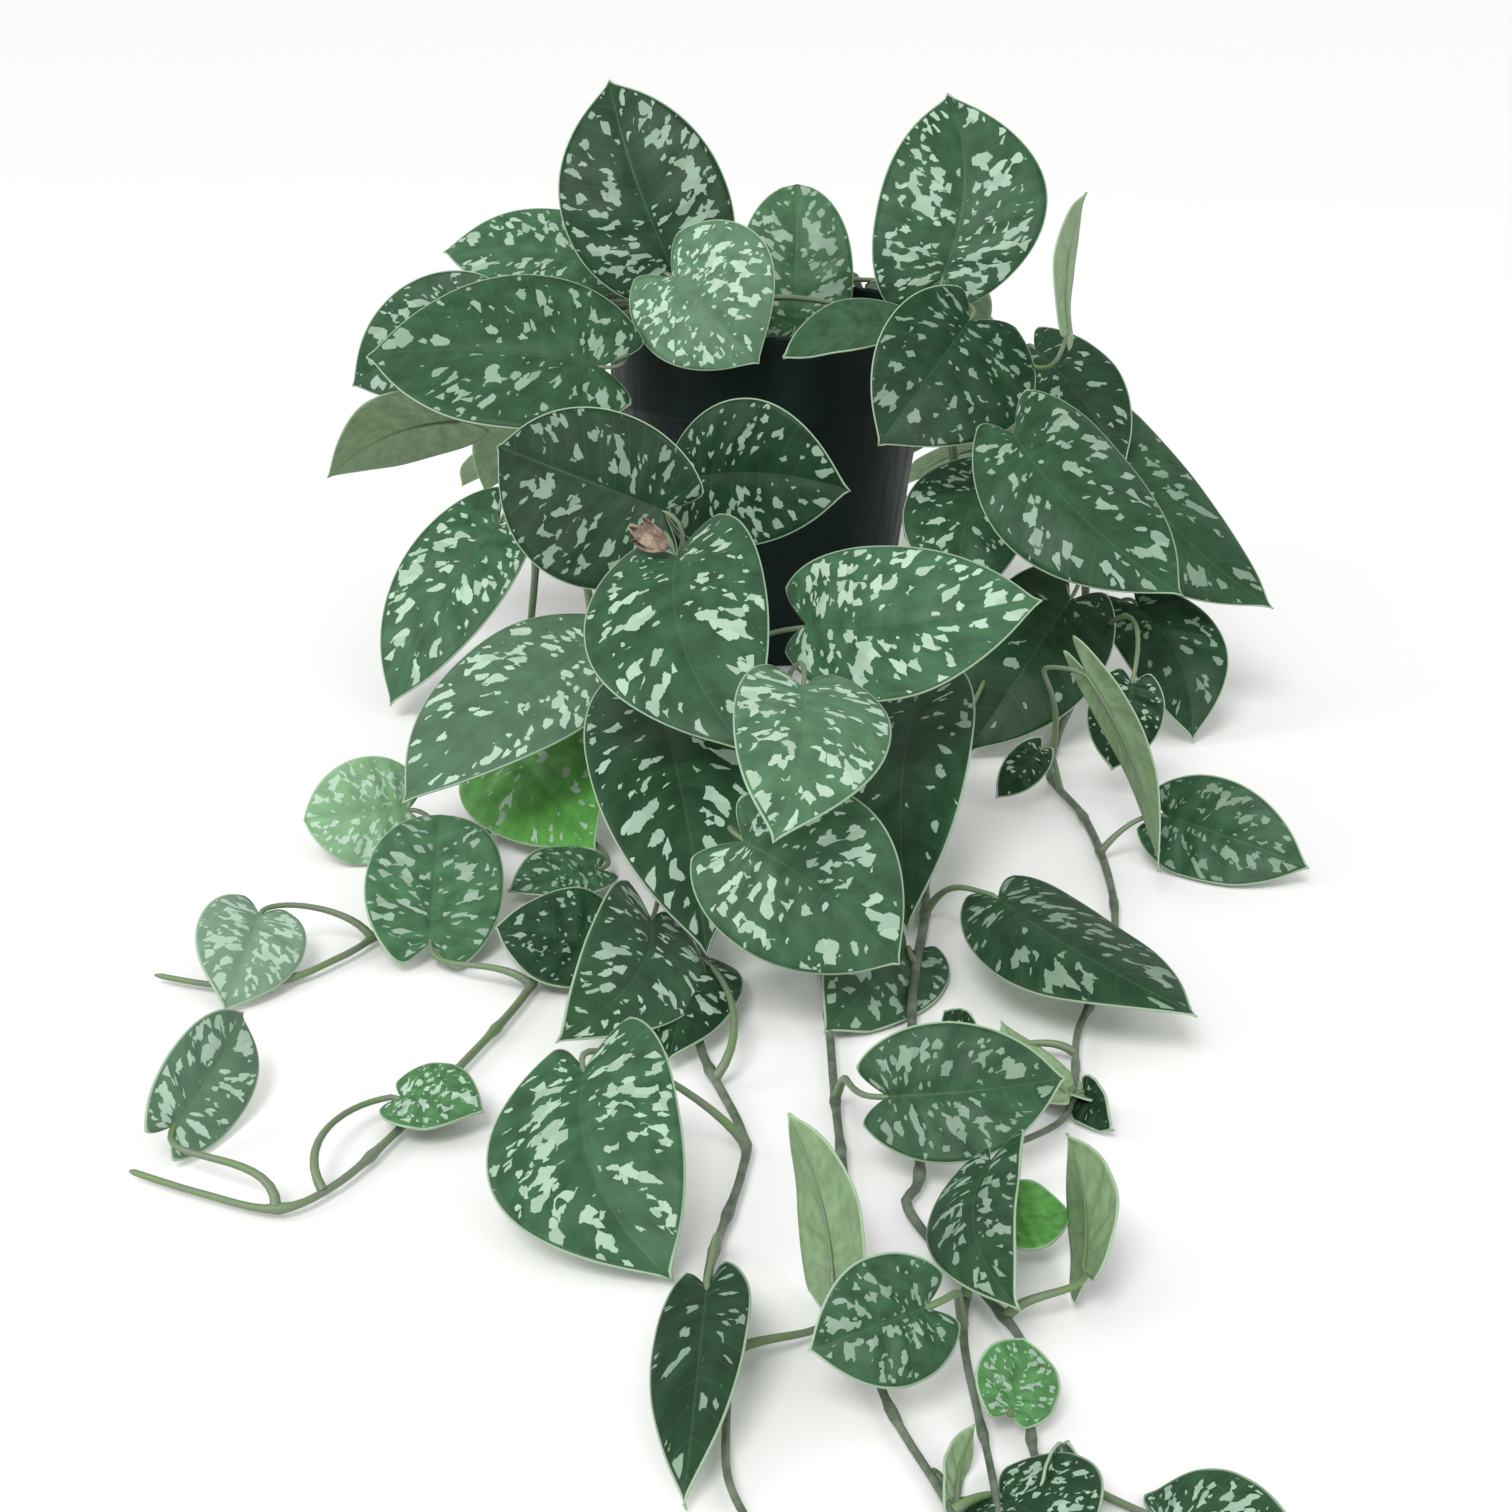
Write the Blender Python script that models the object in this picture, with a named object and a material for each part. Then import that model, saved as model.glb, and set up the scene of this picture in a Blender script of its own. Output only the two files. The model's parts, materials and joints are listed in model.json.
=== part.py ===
# Satin pothos in a round nursery pot, standing on a flat surface.
# Its stems come over the rim and lie along the surface, and its leaves stand up from them on stalks.
# Metres, +Z up. The origin is the centre of the underside of the pot, and the plant's front faces -Y.

import math

import bpy
import bmesh
from mathutils import Vector

# Pot and soil
POT_HEIGHT = 0.125
RIM_RADIUS = 0.060
BAND_HEIGHT = 0.031
BODY_TOP_RADIUS = 0.0572
BASE_RADIUS = 0.044
WALL = 0.0016
FLOOR_THICKNESS = 0.0025
LIP = 0.0008
POT_SIDES = 32
DRAIN_HOLES = 6
DRAIN_RADIUS = 0.0045
DRAIN_RING = 0.031
SOIL_TOP = 0.107
GAP = 0.0003
STEM_FOOT = SOIL_TOP + GAP + 0.0004

# Stems and leaf stalks
STEM_SIDES = 5
STEM_STEP = 0.021
STEM_END = 0.4
STALK_HALF = 0.0009
STALK_STEPS = 4
STALK_TAPER = 1.15
STALK_PULL = 0.36
REST = 0.0006

# Leaf blade: how far its lobes reach back, its widest place and its tip, as shares of its length
BLADE_THICKNESS = 0.001
LOBE_REACH = 0.20
WIDEST = 0.30
LOBE_START = math.radians(25)
SHOULDER = 0.42
FULLNESS = 2.2
TIP_POWER = 0.85
DRAWN_TIP = 0.55
DRAWN_POWER = 14
ROUND_LOBE = 0.35
VEIN_POWER = 2.0
VEIN_CURVE = 1.4
BLADE_ROWS = (0.0, 0.2, 0.42, 0.64, 0.84, 1.0)
BLADE_COLUMNS = (0.55, 1.0)

# The line of sight along which the leaves were read: its distance, height and tilt, and pixels
VIEW_DISTANCE = 0.90
VIEW_HEIGHT = 0.2767
VIEW_SIDE = -0.0052
VIEW_TILT = math.radians(20)
VIEW_FOCAL = 2432
VIEW_CENTRE = 756

POT_COLOUR = (0.012, 0.018, 0.019)
SOIL_COLOUR = (0.035, 0.022, 0.014)
STEM_COLOUR = (0.10, 0.15, 0.08)
DEEP = (0.035, 0.085, 0.045)
MIDDLE = (0.055, 0.13, 0.06)
BRIGHT = (0.10, 0.28, 0.08)
PALE = (0.20, 0.30, 0.17)


def eye():
    return Vector((VIEW_SIDE, -VIEW_DISTANCE, VIEW_HEIGHT))


def sight(px, py):
    """The direction in which a picture point is seen."""
    right = (px - VIEW_CENTRE) / VIEW_FOCAL
    up = (VIEW_CENTRE - py) / VIEW_FOCAL
    forward = math.cos(VIEW_TILT) + up * math.sin(VIEW_TILT)
    rise = up * math.cos(VIEW_TILT) - math.sin(VIEW_TILT)
    return Vector((right, forward, rise))


def seen(px, py, front):
    """A picture point at a distance in front of the pot's axis."""
    ray = sight(px, py)
    return eye() + ray * ((VIEW_DISTANCE - front) / ray.y)


def laid(px, py, height=0.0028):
    """A picture point on the surface that the pot stands on."""
    ray = sight(px, py)
    return eye() + ray * ((height - VIEW_HEIGHT) / ray.z)


def real(x, front, z):
    return Vector((x, -front, z))


def round_pot(angle, radius, z):
    """A point about the pot's axis: 0 degrees is the front, and positive goes to the right."""
    turn = math.radians(angle)
    return Vector((math.sin(turn) * radius, -math.cos(turn) * radius, z))


def over_rim(angle, start=None):
    """The first stretch of a stem: up out of the soil, over the rim and down outside it."""
    lead = angle if start is None else start
    return [
        round_pot(lead, 0.030, STEM_FOOT),
        round_pot(lead, 0.034, 0.118),
        round_pot((lead + angle) / 2, 0.048, 0.1268),
        round_pot(angle, 0.0618, 0.1286),
        round_pot(angle, 0.0725, 0.120),
    ]


def leaf(at, base, tip, wide, roll=0, tone=DEEP, fold=0.14, arch=0.07, curl=0.10,
         bend=0.0, lean=0.0, lobe=LOBE_REACH, hook=0.25, faces=None):
    """One leaf: its place on the stem, its base and tip, its width, and how its blade turns and curves.

    The upper side faces the eye, or the direction faces, before roll turns it about the midrib.
    """
    return dict(at=at, base=base, tip=tip, wide=wide, roll=math.radians(roll), tone=tone, fold=fold,
                arch=arch, curl=curl, bend=bend, lean=lean, lobe=lobe, hook=hook, faces=faces)


VINES = [
    dict(
        name="crown",
        radius=(0.0024, 0.0020),
        route=[
            real(-0.004, 0.002, STEM_FOOT),
            real(-0.003, 0.001, 0.114),
            real(-0.002, 0.000, 0.122),
            real(-0.002, -0.003, 0.130),
        ],
        leaves=[
            leaf(1.6, seen(672, 268, 0.034), seen(609, 80, 0.002), 0.059, bend=0.03),
            leaf(1.9, seen(602, 266, 0.002), seen(443, 252, -0.016), 0.046, roll=-45, tone=MIDDLE),
            leaf(0.8, seen(795, 328, -0.010), seen(797, 184, -0.034), 0.043, tone=BRIGHT, hook=0.0),
            leaf(2.7, seen(942, 277, 0.034), seen(947, 94, -0.004), 0.060, bend=-0.10, hook=0.15),
        ],
    ),
    dict(
        name="left_far",
        radius=(0.0019, 0.0010),
        route=over_rim(-88, -100) + [
            real(-0.082, 0.020, 0.085),
            seen(533, 600, 0.045),
            laid(520, 700),
            laid(505, 780),
            laid(487, 832),
            laid(430, 885),
            laid(372, 938),
            laid(330, 962),
            laid(286, 979),
            laid(220, 985),
            laid(155, 975),
        ],
        leaves=[
            leaf(4.6, seen(459, 420, 0.040), seen(327, 478, 0.048), 0.046, roll=-124, tone=PALE,
                 bend=0.08),
            leaf(5.4, seen(498, 522, 0.078), seen(390, 706, 0.103), 0.047, roll=-40),
            leaf(9.6, seen(408, 810, 0.222), seen(304, 821, 0.230), 0.034, roll=-10, tone=BRIGHT),
            leaf(11.0, seen(260, 914, 0.300), seen(224, 1011, 0.336), 0.029, tone=MIDDLE),
        ],
    ),
    dict(
        name="left_near",
        radius=(0.0019, 0.0010),
        route=over_rim(-76) + [
            real(-0.083, 0.045, 0.088),
            real(-0.062, 0.105, 0.045),
            laid(585, 730),
            laid(556, 800),
            laid(545, 870),
            laid(537, 930),
            laid(531, 985),
            laid(452, 1075),
            laid(391, 1137),
            laid(335, 1185),
            laid(276, 1209),
            laid(200, 1193),
            laid(130, 1171),
        ],
        leaves=[
            leaf(6.25, seen(662, 510, 0.139), seen(497, 446, 0.100), 0.058, lean=-0.15),
            leaf(6.5, seen(594, 644, 0.190), seen(402, 803, 0.240), 0.062, roll=-50, bend=0.05),
            leaf(7.2, seen(508, 742, 0.185), seen(596, 851, 0.240), 0.046, tone=BRIGHT),
            leaf(11.0, seen(430, 940, 0.302), seen(440, 815, 0.245), 0.038, tone=MIDDLE),
            leaf(14.2, seen(401, 1096, 0.392), seen(484, 1112, 0.398), 0.024, roll=45, tone=MIDDLE),
            leaf(15.0, seen(176, 1124, 0.408), seen(243, 1012, 0.362), 0.023, roll=-20, tone=MIDDLE),
        ],
    ),
    dict(
        name="centre",
        radius=(0.0020, 0.0010),
        route=over_rim(-66, -62) + [
            real(-0.066, 0.058, 0.090),
            real(-0.044, 0.100, 0.054),
            real(-0.030, 0.136, 0.010),
            laid(680, 800),
            laid(690, 870),
            laid(700, 930),
            laid(705, 985),
            laid(700, 1045),
            laid(742, 1132),
            laid(741, 1175),
            laid(709, 1270),
            laid(714, 1335),
            laid(726, 1388),
            laid(727, 1473),
            laid(750, 1525),
        ],
        leaves=[
            leaf(1.55, seen(672, 278, 0.050), seen(759, 364, 0.070), 0.054, tone=MIDDLE, lean=-0.15,
                 lobe=0.3),
            leaf(5.4, seen(692, 478, 0.092), seen(851, 491, 0.112), 0.050, bend=0.06),
            leaf(6.6, seen(676, 556, 0.232), seen(747, 752, 0.290), 0.053, bend=-0.09),
            leaf(8.4, seen(655, 695, 0.235), seen(707, 957, 0.324), 0.048, bend=0.02),
            leaf(10.2, seen(600, 950, 0.311), seen(495, 927, 0.305), 0.034, roll=-40),
            leaf(9.3, seen(652, 918, 0.309), seen(556, 1042, 0.378), 0.034, bend=0.08),
            leaf(13.25, seen(584, 1069, 0.420), seen(673, 1281, 0.464), 0.044, bend=-0.12, hook=0.12),
            leaf(16.5, seen(838, 1297, 0.475), seen(789, 1113, 0.455), 0.026, roll=-120, tone=PALE),
            leaf(14.8, seen(706, 1287, 0.478), seen(684, 1506, 0.538), 0.021, roll=-30, bend=0.04,
                 hook=0.12),
        ],
    ),
    dict(
        name="centre_right",
        radius=(0.0019, 0.0010),
        route=over_rim(-56, -46) + [
            real(-0.052, 0.068, 0.084),
            real(-0.014, 0.112, 0.047),
            real(0.000, 0.155, 0.012),
            laid(765, 800),
            laid(775, 850),
            laid(797, 910),
            laid(821, 954),
            laid(835, 1099),
            laid(843, 1166),
            laid(855, 1260),
            laid(881, 1387),
            laid(940, 1490),
            laid(962, 1528),
        ],
        leaves=[
            leaf(3.2, seen(600, 366, 0.073), seen(366, 357, 0.060), 0.068, roll=-40),
            leaf(6.5, seen(806, 624, 0.235), seen(1042, 600, 0.245), 0.052, roll=33, bend=-0.09,
                 lobe=0.13),
            leaf(8.2, seen(803, 686, 0.305), seen(773, 844, 0.368), 0.040, tone=MIDDLE, bend=0.04,
                 lean=0.08),
            leaf(10.6, seen(744, 841, 0.337), seen(900, 965, 0.348), 0.047, bend=0.05, hook=0.55),
            leaf(12.0, seen(888, 1096, 0.414), seen(1066, 1078, 0.411), 0.032, roll=10, bend=-0.03),
        ],
    ),
    dict(
        name="right_inner",
        radius=(0.0020, 0.0009),
        route=over_rim(50) + [
            real(0.064, 0.074, 0.080),
            real(0.062, 0.118, 0.022),
            laid(935, 780),
            laid(925, 860),
            laid(925, 914),
            laid(912, 1007),
            laid(920, 1166),
            laid(906, 1202),
            laid(935, 1245),
            laid(969, 1277),
            laid(1005, 1318),
            laid(1023, 1345),
            laid(1033, 1390),
            laid(1031, 1436),
            laid(1040, 1478),
            laid(1048, 1528),
        ],
        leaves=[
            leaf(3.3, seen(890, 320, 0.074), seen(783, 358, 0.079), 0.030, roll=-55, tone=MIDDLE),
            leaf(3.6, seen(970, 320, 0.084), seen(878, 446, 0.112), 0.055, lean=0.2),
            leaf(4.7, seen(985, 478, 0.088), seen(962, 612, 0.125), 0.043, tone=MIDDLE, bend=-0.08),
            leaf(7.4, seen(915, 700, 0.210), seen(908, 930, 0.290), 0.046, roll=-30),
            leaf(9.0, seen(998, 896, 0.305), seen(1197, 1016, 0.364), 0.041, roll=45, bend=-0.10,
                 lean=0.2, fold=-0.1, curl=0.25),
            leaf(15.0, seen(1088, 1270, 0.470), seen(1068, 1134, 0.440), 0.022, roll=-120, tone=PALE),
        ],
    ),
    dict(
        name="right_mid",
        radius=(0.0010, 0.0009),
        route=[
            laid(965, 1296),
            laid(964, 1343),
            laid(975, 1400),
            laid(991, 1470),
            laid(1000, 1525),
        ],
        leaves=[
            leaf(0.7, seen(925, 1308, 0.503), seen(808, 1351, 0.511), 0.025, tone=MIDDLE, lobe=0.3),
            leaf(0.1, seen(989, 1160, 0.442), seen(1020, 1310, 0.492), 0.022, roll=-20, bend=-0.1,
                 hook=0.8),
        ],
    ),
    dict(
        name="right_long",
        radius=(0.0020, 0.0010),
        route=over_rim(80, 88) + [
            real(0.100, 0.030, 0.088),
            real(0.112, 0.055, 0.048),
            real(0.108, 0.092, 0.014),
            laid(1058, 735),
            laid(1050, 775),
            laid(1083, 816),
            laid(1105, 865),
            laid(1115, 919),
            laid(1105, 975),
            laid(1078, 1031),
            laid(1075, 1085),
            laid(1062, 1120),
            laid(1020, 1142),
        ],
        leaves=[
            leaf(4.2, seen(1066, 332, 0.100), seen(1087, 192, 0.074), 0.030, roll=104, lobe=0.12,
                 hook=0.0, tone=PALE),
            leaf(4.7, seen(1035, 348, 0.050), seen(1126, 467, 0.090), 0.036, roll=30),
            leaf(5.2, seen(1015, 435, 0.130), seen(1183, 596, 0.165), 0.054, roll=30, bend=-0.10,
                 lean=-0.15, fold=-0.05, curl=0.2, hook=0.7),
            leaf(5.35, seen(1110, 440, 0.075), seen(1273, 609, 0.105), 0.046, roll=35, bend=-0.12,
                 fold=-0.05, curl=0.2),
            leaf(6.6, seen(1137, 605, 0.095), seen(1192, 741, 0.130), 0.036, roll=20, bend=0.10),
            leaf(6.2, seen(1070, 600, 0.110), seen(968, 753, 0.145), 0.045),
            leaf(8.4, seen(1088, 672, 0.205), seen(1160, 872, 0.262), 0.018, roll=125, tone=PALE,
                 hook=0.85),
            leaf(10.75, seen(1166, 816, 0.230), seen(1309, 868, 0.252), 0.032, roll=10, tone=MIDDLE),
        ],
    ),
    dict(
        name="back_left",
        radius=(0.0021, 0.0014),
        route=over_rim(-145) + [
            real(-0.048, -0.078, 0.080),
            real(-0.052, -0.098, 0.030),
            real(-0.058, -0.120, 0.0028),
            real(-0.080, -0.150, 0.0028),
            real(-0.075, -0.190, 0.0028),
            real(-0.040, -0.215, 0.0028),
            real(-0.015, -0.250, 0.0028),
        ],
        leaves=[
            leaf(3.3, real(-0.070, -0.060, 0.112), real(-0.098, -0.100, 0.070), 0.044,
                 faces=real(-0.3, -1, 0.8)),
            leaf(8.0, real(-0.070, -0.175, 0.036), real(-0.045, -0.225, 0.018), 0.040,
                 faces=real(0, -0.3, 1)),
        ],
    ),
    dict(
        name="back_right",
        radius=(0.0021, 0.0014),
        route=over_rim(150) + [
            real(0.048, -0.078, 0.080),
            real(0.056, -0.098, 0.030),
            real(0.064, -0.120, 0.0028),
            real(0.090, -0.140, 0.0028),
            real(0.120, -0.165, 0.0028),
            real(0.125, -0.200, 0.0028),
            real(0.105, -0.235, 0.0028),
        ],
        leaves=[
            leaf(4.2, real(0.060, -0.084, 0.112), real(0.090, -0.122, 0.070), 0.046,
                 faces=real(0.3, -1, 0.8)),
            leaf(8.0, real(0.098, -0.150, 0.032), real(0.140, -0.185, 0.016), 0.040,
                 faces=real(0, -0.3, 1)),
        ],
    ),
]


def clear_scene():
    for old in list(bpy.data.objects):
        bpy.data.objects.remove(old)


def finish(name, rings_mesh, colour, roughness, smooth=60):
    """Turns a bmesh into a named object with its own material."""
    bmesh.ops.recalc_face_normals(rings_mesh, faces=rings_mesh.faces)
    mesh = bpy.data.meshes.new(name)
    rings_mesh.to_mesh(mesh)
    rings_mesh.free()
    mesh.shade_smooth()
    mesh.set_sharp_from_angle(angle=math.radians(smooth))
    material = bpy.data.materials.new(name)
    material.use_nodes = True
    shader = material.node_tree.nodes["Principled BSDF"]
    shader.inputs["Base Color"].default_value = (*colour, 1)
    shader.inputs["Roughness"].default_value = roughness
    shader.inputs["Metallic"].default_value = 0
    mesh.materials.append(material)
    piece = bpy.data.objects.new(name, mesh)
    bpy.context.scene.collection.objects.link(piece)
    return piece


def turned(profile, sides):
    """A closed round body from (radius, z) points. Its first and last rings are filled with flat faces."""
    shape = bmesh.new()
    rings = []
    for radius, z in profile:
        ring = []
        for side in range(sides):
            turn = 2 * math.pi * side / sides
            ring.append(shape.verts.new((radius * math.cos(turn), radius * math.sin(turn), z)))
        rings.append(ring)
    for lower, upper in zip(rings, rings[1:]):
        for side in range(sides):
            after = (side + 1) % sides
            shape.faces.new((lower[side], lower[after], upper[after], upper[side]))
    shape.faces.new(rings[0])
    shape.faces.new(rings[-1])
    return shape


def inner_radius(z):
    """The pot's inside radius at a height."""
    body_top = POT_HEIGHT - BAND_HEIGHT
    if z > body_top:
        return RIM_RADIUS - WALL
    return BASE_RADIUS + (BODY_TOP_RADIUS - BASE_RADIUS) * z / body_top - WALL


def make_pot():
    body_top = POT_HEIGHT - BAND_HEIGHT
    profile = [
        (BASE_RADIUS - 0.002, 0),
        (BASE_RADIUS, 0.002),
        (BODY_TOP_RADIUS, body_top - 0.002),
        (RIM_RADIUS - LIP, body_top),
        (RIM_RADIUS - LIP, POT_HEIGHT - 0.004),
        (RIM_RADIUS, POT_HEIGHT - 0.003),
        (RIM_RADIUS, POT_HEIGHT),
        (RIM_RADIUS - LIP - WALL, POT_HEIGHT),
        (RIM_RADIUS - LIP - WALL, body_top + 0.001),
        (inner_radius(body_top - 0.003), body_top - 0.003),
        (inner_radius(FLOOR_THICKNESS), FLOOR_THICKNESS),
    ]
    pot = finish("pot", turned(profile, POT_SIDES), POT_COLOUR, 0.42, smooth=35)
    for hole in range(DRAIN_HOLES):
        turn = 2 * math.pi * (hole + 0.5) / DRAIN_HOLES
        drill = bmesh.new()
        bmesh.ops.create_cone(drill, cap_ends=True, segments=10, radius1=DRAIN_RADIUS,
                              radius2=DRAIN_RADIUS, depth=4 * FLOOR_THICKNESS)
        mesh = bpy.data.meshes.new(f"drain_{hole}")
        drill.to_mesh(mesh)
        drill.free()
        cutter = bpy.data.objects.new(f"drain_{hole}", mesh)
        cutter.location = (DRAIN_RING * math.cos(turn), DRAIN_RING * math.sin(turn), 0)
        cutter.hide_render = True
        cutter.display_type = "WIRE"
        bpy.context.scene.collection.objects.link(cutter)
        cut = pot.modifiers.new(f"drain_{hole}", "BOOLEAN")
        cut.operation = "DIFFERENCE"
        cut.solver = "EXACT"
        cut.object = cutter


def make_soil():
    body_top = POT_HEIGHT - BAND_HEIGHT
    bottom = FLOOR_THICKNESS + GAP
    profile = [
        (inner_radius(bottom) - 2 * GAP, bottom),
        (inner_radius(body_top - 0.003) - 2 * GAP, body_top - 0.0025),
        (RIM_RADIUS - LIP - WALL - 2 * GAP, body_top + 0.002),
        (RIM_RADIUS - LIP - WALL - 2 * GAP, SOIL_TOP - 0.003),
        (RIM_RADIUS - LIP - WALL - 0.006, SOIL_TOP),
    ]
    finish("soil", turned(profile, POT_SIDES), SOIL_COLOUR, 0.95)


def on_route(route, at):
    """A smooth curve through the route's points, read at a point number such as 2.5."""
    last = len(route) - 1
    start = min(int(at), last - 1)
    t = at - start
    before = route[max(start - 1, 0)]
    here = route[start]
    there = route[start + 1]
    after = route[min(start + 2, last)]
    return 0.5 * (
        2 * here
        + (there - before) * t
        + (2 * before - 5 * here + 4 * there - after) * t * t
        + (3 * here - before - 3 * there + after) * t * t * t
    )


def tube(points, sides, halves, side, up):
    """A closed tube through the points. The first ring's corners lie along side and up."""
    shape = bmesh.new()
    rings = []
    for number, point in enumerate(points):
        ahead = points[min(number + 1, len(points) - 1)]
        behind = points[max(number - 1, 0)]
        along = (ahead - behind).normalized()
        side = (side - along * side.dot(along)).normalized()
        up = side.cross(along) * (1 if side.cross(along).dot(up) > 0 else -1)
        ring = []
        for corner in range(sides):
            turn = 2 * math.pi * (corner + 0.5) / sides
            outward = side * math.cos(turn) + up * math.sin(turn)
            ring.append(shape.verts.new(point + outward * halves[number]))
        rings.append(ring)
    for first, second in zip(rings, rings[1:]):
        for corner in range(sides):
            after = (corner + 1) % sides
            shape.faces.new((first[corner], first[after], second[after], second[corner]))
    shape.faces.new(rings[0])
    shape.faces.new(rings[-1])
    return shape


def make_vine(vine):
    route = vine["route"]
    first, last = vine["radius"]
    span = len(route) - 1
    length = sum((b - a).length for a, b in zip(route, route[1:]))
    steps = max(int(length / STEM_STEP), 2 * len(vine["route"]) - 2)
    points = []
    halves = []
    for step in range(steps + 1):
        share = step / steps
        half = first + (last - first) * share
        if step == steps:
            half *= STEM_END
        point = on_route(route, share * span)
        point.z = max(point.z, half + REST)
        points.append(point)
        halves.append(half)
    shape = tube(points, STEM_SIDES, halves, Vector((1, 0, 0)), Vector((0, 1, 0)))
    finish("vine_" + vine["name"], shape, STEM_COLOUR, 0.5)


def blade_frame(row):
    """The blade's own axes: along to its tip, across to its left, and up from its upper side."""
    along = (row["tip"] - row["base"]).normalized()
    middle = (row["tip"] + row["base"]) / 2
    towards = row["faces"] or eye() - middle
    towards = (towards - along * towards.dot(along)).normalized()
    side = towards.cross(along)
    up = towards * math.cos(row["roll"]) + side * math.sin(row["roll"])
    across = up.cross(along)
    return along, across, up


def margin(u, half, lobe):
    """A point of the blade's edge, as shares of its length: round the lobe, then on to the tip."""
    if u < SHOULDER:
        turn = LOBE_START + (math.pi / 2 - LOBE_START) * u / SHOULDER
        return WIDEST - (WIDEST + lobe) * math.cos(turn), half * math.sin(turn)
    q = (u - SHOULDER) / (1 - SHOULDER)
    wide = half * max(1 - q ** FULLNESS, 0) ** TIP_POWER * (1 - DRAWN_TIP * q ** DRAWN_POWER)
    return WIDEST + (1 - WIDEST) * q, wide


def blade_point(row, frame, u, v):
    """A point of the blade's middle surface: u runs along the midrib and v from edge, -1, to edge, 1."""
    along, across, up = frame
    length = (row["tip"] - row["base"]).length
    size = abs(v)
    half = row["wide"] / length / 2 * (1 + math.copysign(row["lean"], v))
    edge_x, edge_y = margin(u, half, row["lobe"])
    vein = u ** VEIN_POWER
    rounded = max(1 - u / ROUND_LOBE, 0)
    reach = size ** VEIN_CURVE * (1 - rounded) + math.sin(math.pi / 2 * size) * rounded
    x = vein + (edge_x - vein) * reach
    y = edge_y * v
    bow = 4 * x * (1 - x)
    rise = row["arch"] * bow + row["fold"] * abs(y) - row["curl"] * y * y / half
    y += row["bend"] * bow
    return row["base"] + (along * x + across * y + up * rise) * length


def make_leaf(name, row, vine):
    frame = blade_frame(row)
    along, across, up = frame
    half = BLADE_THICKNESS / 2
    narrow = 1.6 * STALK_HALF / row["wide"] / math.sin(LOBE_START)
    columns = [-c for c in reversed(BLADE_COLUMNS)] + [-narrow, narrow] + list(BLADE_COLUMNS)
    shape = bmesh.new()
    upper = []
    lower = []
    for u in BLADE_ROWS[:-1]:
        tops = []
        unders = []
        for v in columns:
            point = blade_point(row, frame, u, v)
            point.z = max(point.z, REST + BLADE_THICKNESS)
            tops.append(shape.verts.new(point + up * half))
            unders.append(shape.verts.new(point - up * half))
        upper.append(tops)
        lower.append(unders)
    point = blade_point(row, frame, 1.0, 0.0)
    point.z = max(point.z, REST + BLADE_THICKNESS)
    top_tip = shape.verts.new(point + up * half)
    under_tip = shape.verts.new(point - up * half)
    count = len(columns)
    for sheet, tip in ((upper, top_tip), (lower, under_tip)):
        for near, far in zip(sheet, sheet[1:]):
            for c in range(count - 1):
                shape.faces.new((near[c], near[c + 1], far[c + 1], far[c]))
        for c in range(count - 1):
            shape.faces.new((sheet[-1][c], sheet[-1][c + 1], tip))
    for c in (0, count - 1):
        for r in range(len(upper) - 1):
            shape.faces.new((upper[r][c], upper[r + 1][c], lower[r + 1][c], lower[r][c]))
        shape.faces.new((upper[-1][c], top_tip, under_tip, lower[-1][c]))
    middle = count // 2 - 1
    for c in range(count - 1):
        if c != middle:
            shape.faces.new((upper[0][c], upper[0][c + 1], lower[0][c + 1], lower[0][c]))
    socket = [upper[0][middle], upper[0][middle + 1], lower[0][middle + 1], lower[0][middle]]
    add_stalk(shape, socket, row, vine, frame)
    finish(name, shape, row["tone"], 0.45)


def stalk_ends(row, vine):
    """Where a leaf's stalk leaves its stem: the start, and the direction away from the stem."""
    route = vine["route"]
    span = len(route) - 1
    at = min(row["at"], span - 0.01)
    centre = on_route(route, at)
    first, last = vine["radius"]
    thick = first + (last - first) * at / span
    centre.z = max(centre.z, thick + REST)
    ahead = on_route(route, min(at + 0.1, span - 0.001)) - on_route(route, max(at - 0.1, 0))
    ahead.normalize()
    away = row["base"] - centre
    away = away - ahead * away.dot(ahead)
    away.normalize()
    if centre.z < 0.01:
        away = (away + Vector((0, 0, 0.8))).normalized()
    start = centre + away * (thick + 2 * GAP + STALK_HALF * 0.4)
    return start, away


def add_stalk(shape, socket, row, vine, frame):
    along, across, up = frame
    start, away = stalk_ends(row, vine)
    base = row["base"]
    reach = (base - start).length
    pull = reach * STALK_PULL
    out = base - (along * (1 - row["hook"]) + up * row["hook"]).normalized() * pull
    leave = start + away * pull
    side = across
    face = up
    ring = socket
    for step in range(1, STALK_STEPS + 1):
        t = 1 - step / STALK_STEPS
        s = 1 - t
        point = start * s ** 3 + leave * 3 * s * s * t + out * 3 * s * t * t + base * t ** 3
        slope = (leave - start) * 3 * s * s + (out - leave) * 6 * s * t + (base - out) * 3 * t * t
        slope.normalize()
        side = (side - slope * side.dot(slope)).normalized()
        face = slope.cross(side) * (1 if slope.cross(side).dot(face) > 0 else -1)
        half = STALK_HALF * (1 + (STALK_TAPER - 1) * s)
        point.z = max(point.z, half + 2 * REST)
        corners = [shape.verts.new(point + side * a * half + face * b * half)
                   for a, b in ((-1, 1), (1, 1), (1, -1), (-1, -1))]
        for c in range(4):
            after = (c + 1) % 4
            shape.faces.new((ring[c], ring[after], corners[after], corners[c]))
        ring = corners
    shape.faces.new(ring)


def main():
    clear_scene()
    make_pot()
    make_soil()
    for vine in VINES:
        make_vine(vine)
        for number, row in enumerate(vine["leaves"], 1):
            make_leaf(f"leaf_{vine['name']}_{number}", row, vine)


main()
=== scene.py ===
# Satin pothos in a nursery pot: leaves, stems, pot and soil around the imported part
import bpy
import json
import math
import random
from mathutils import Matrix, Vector, noise


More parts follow.
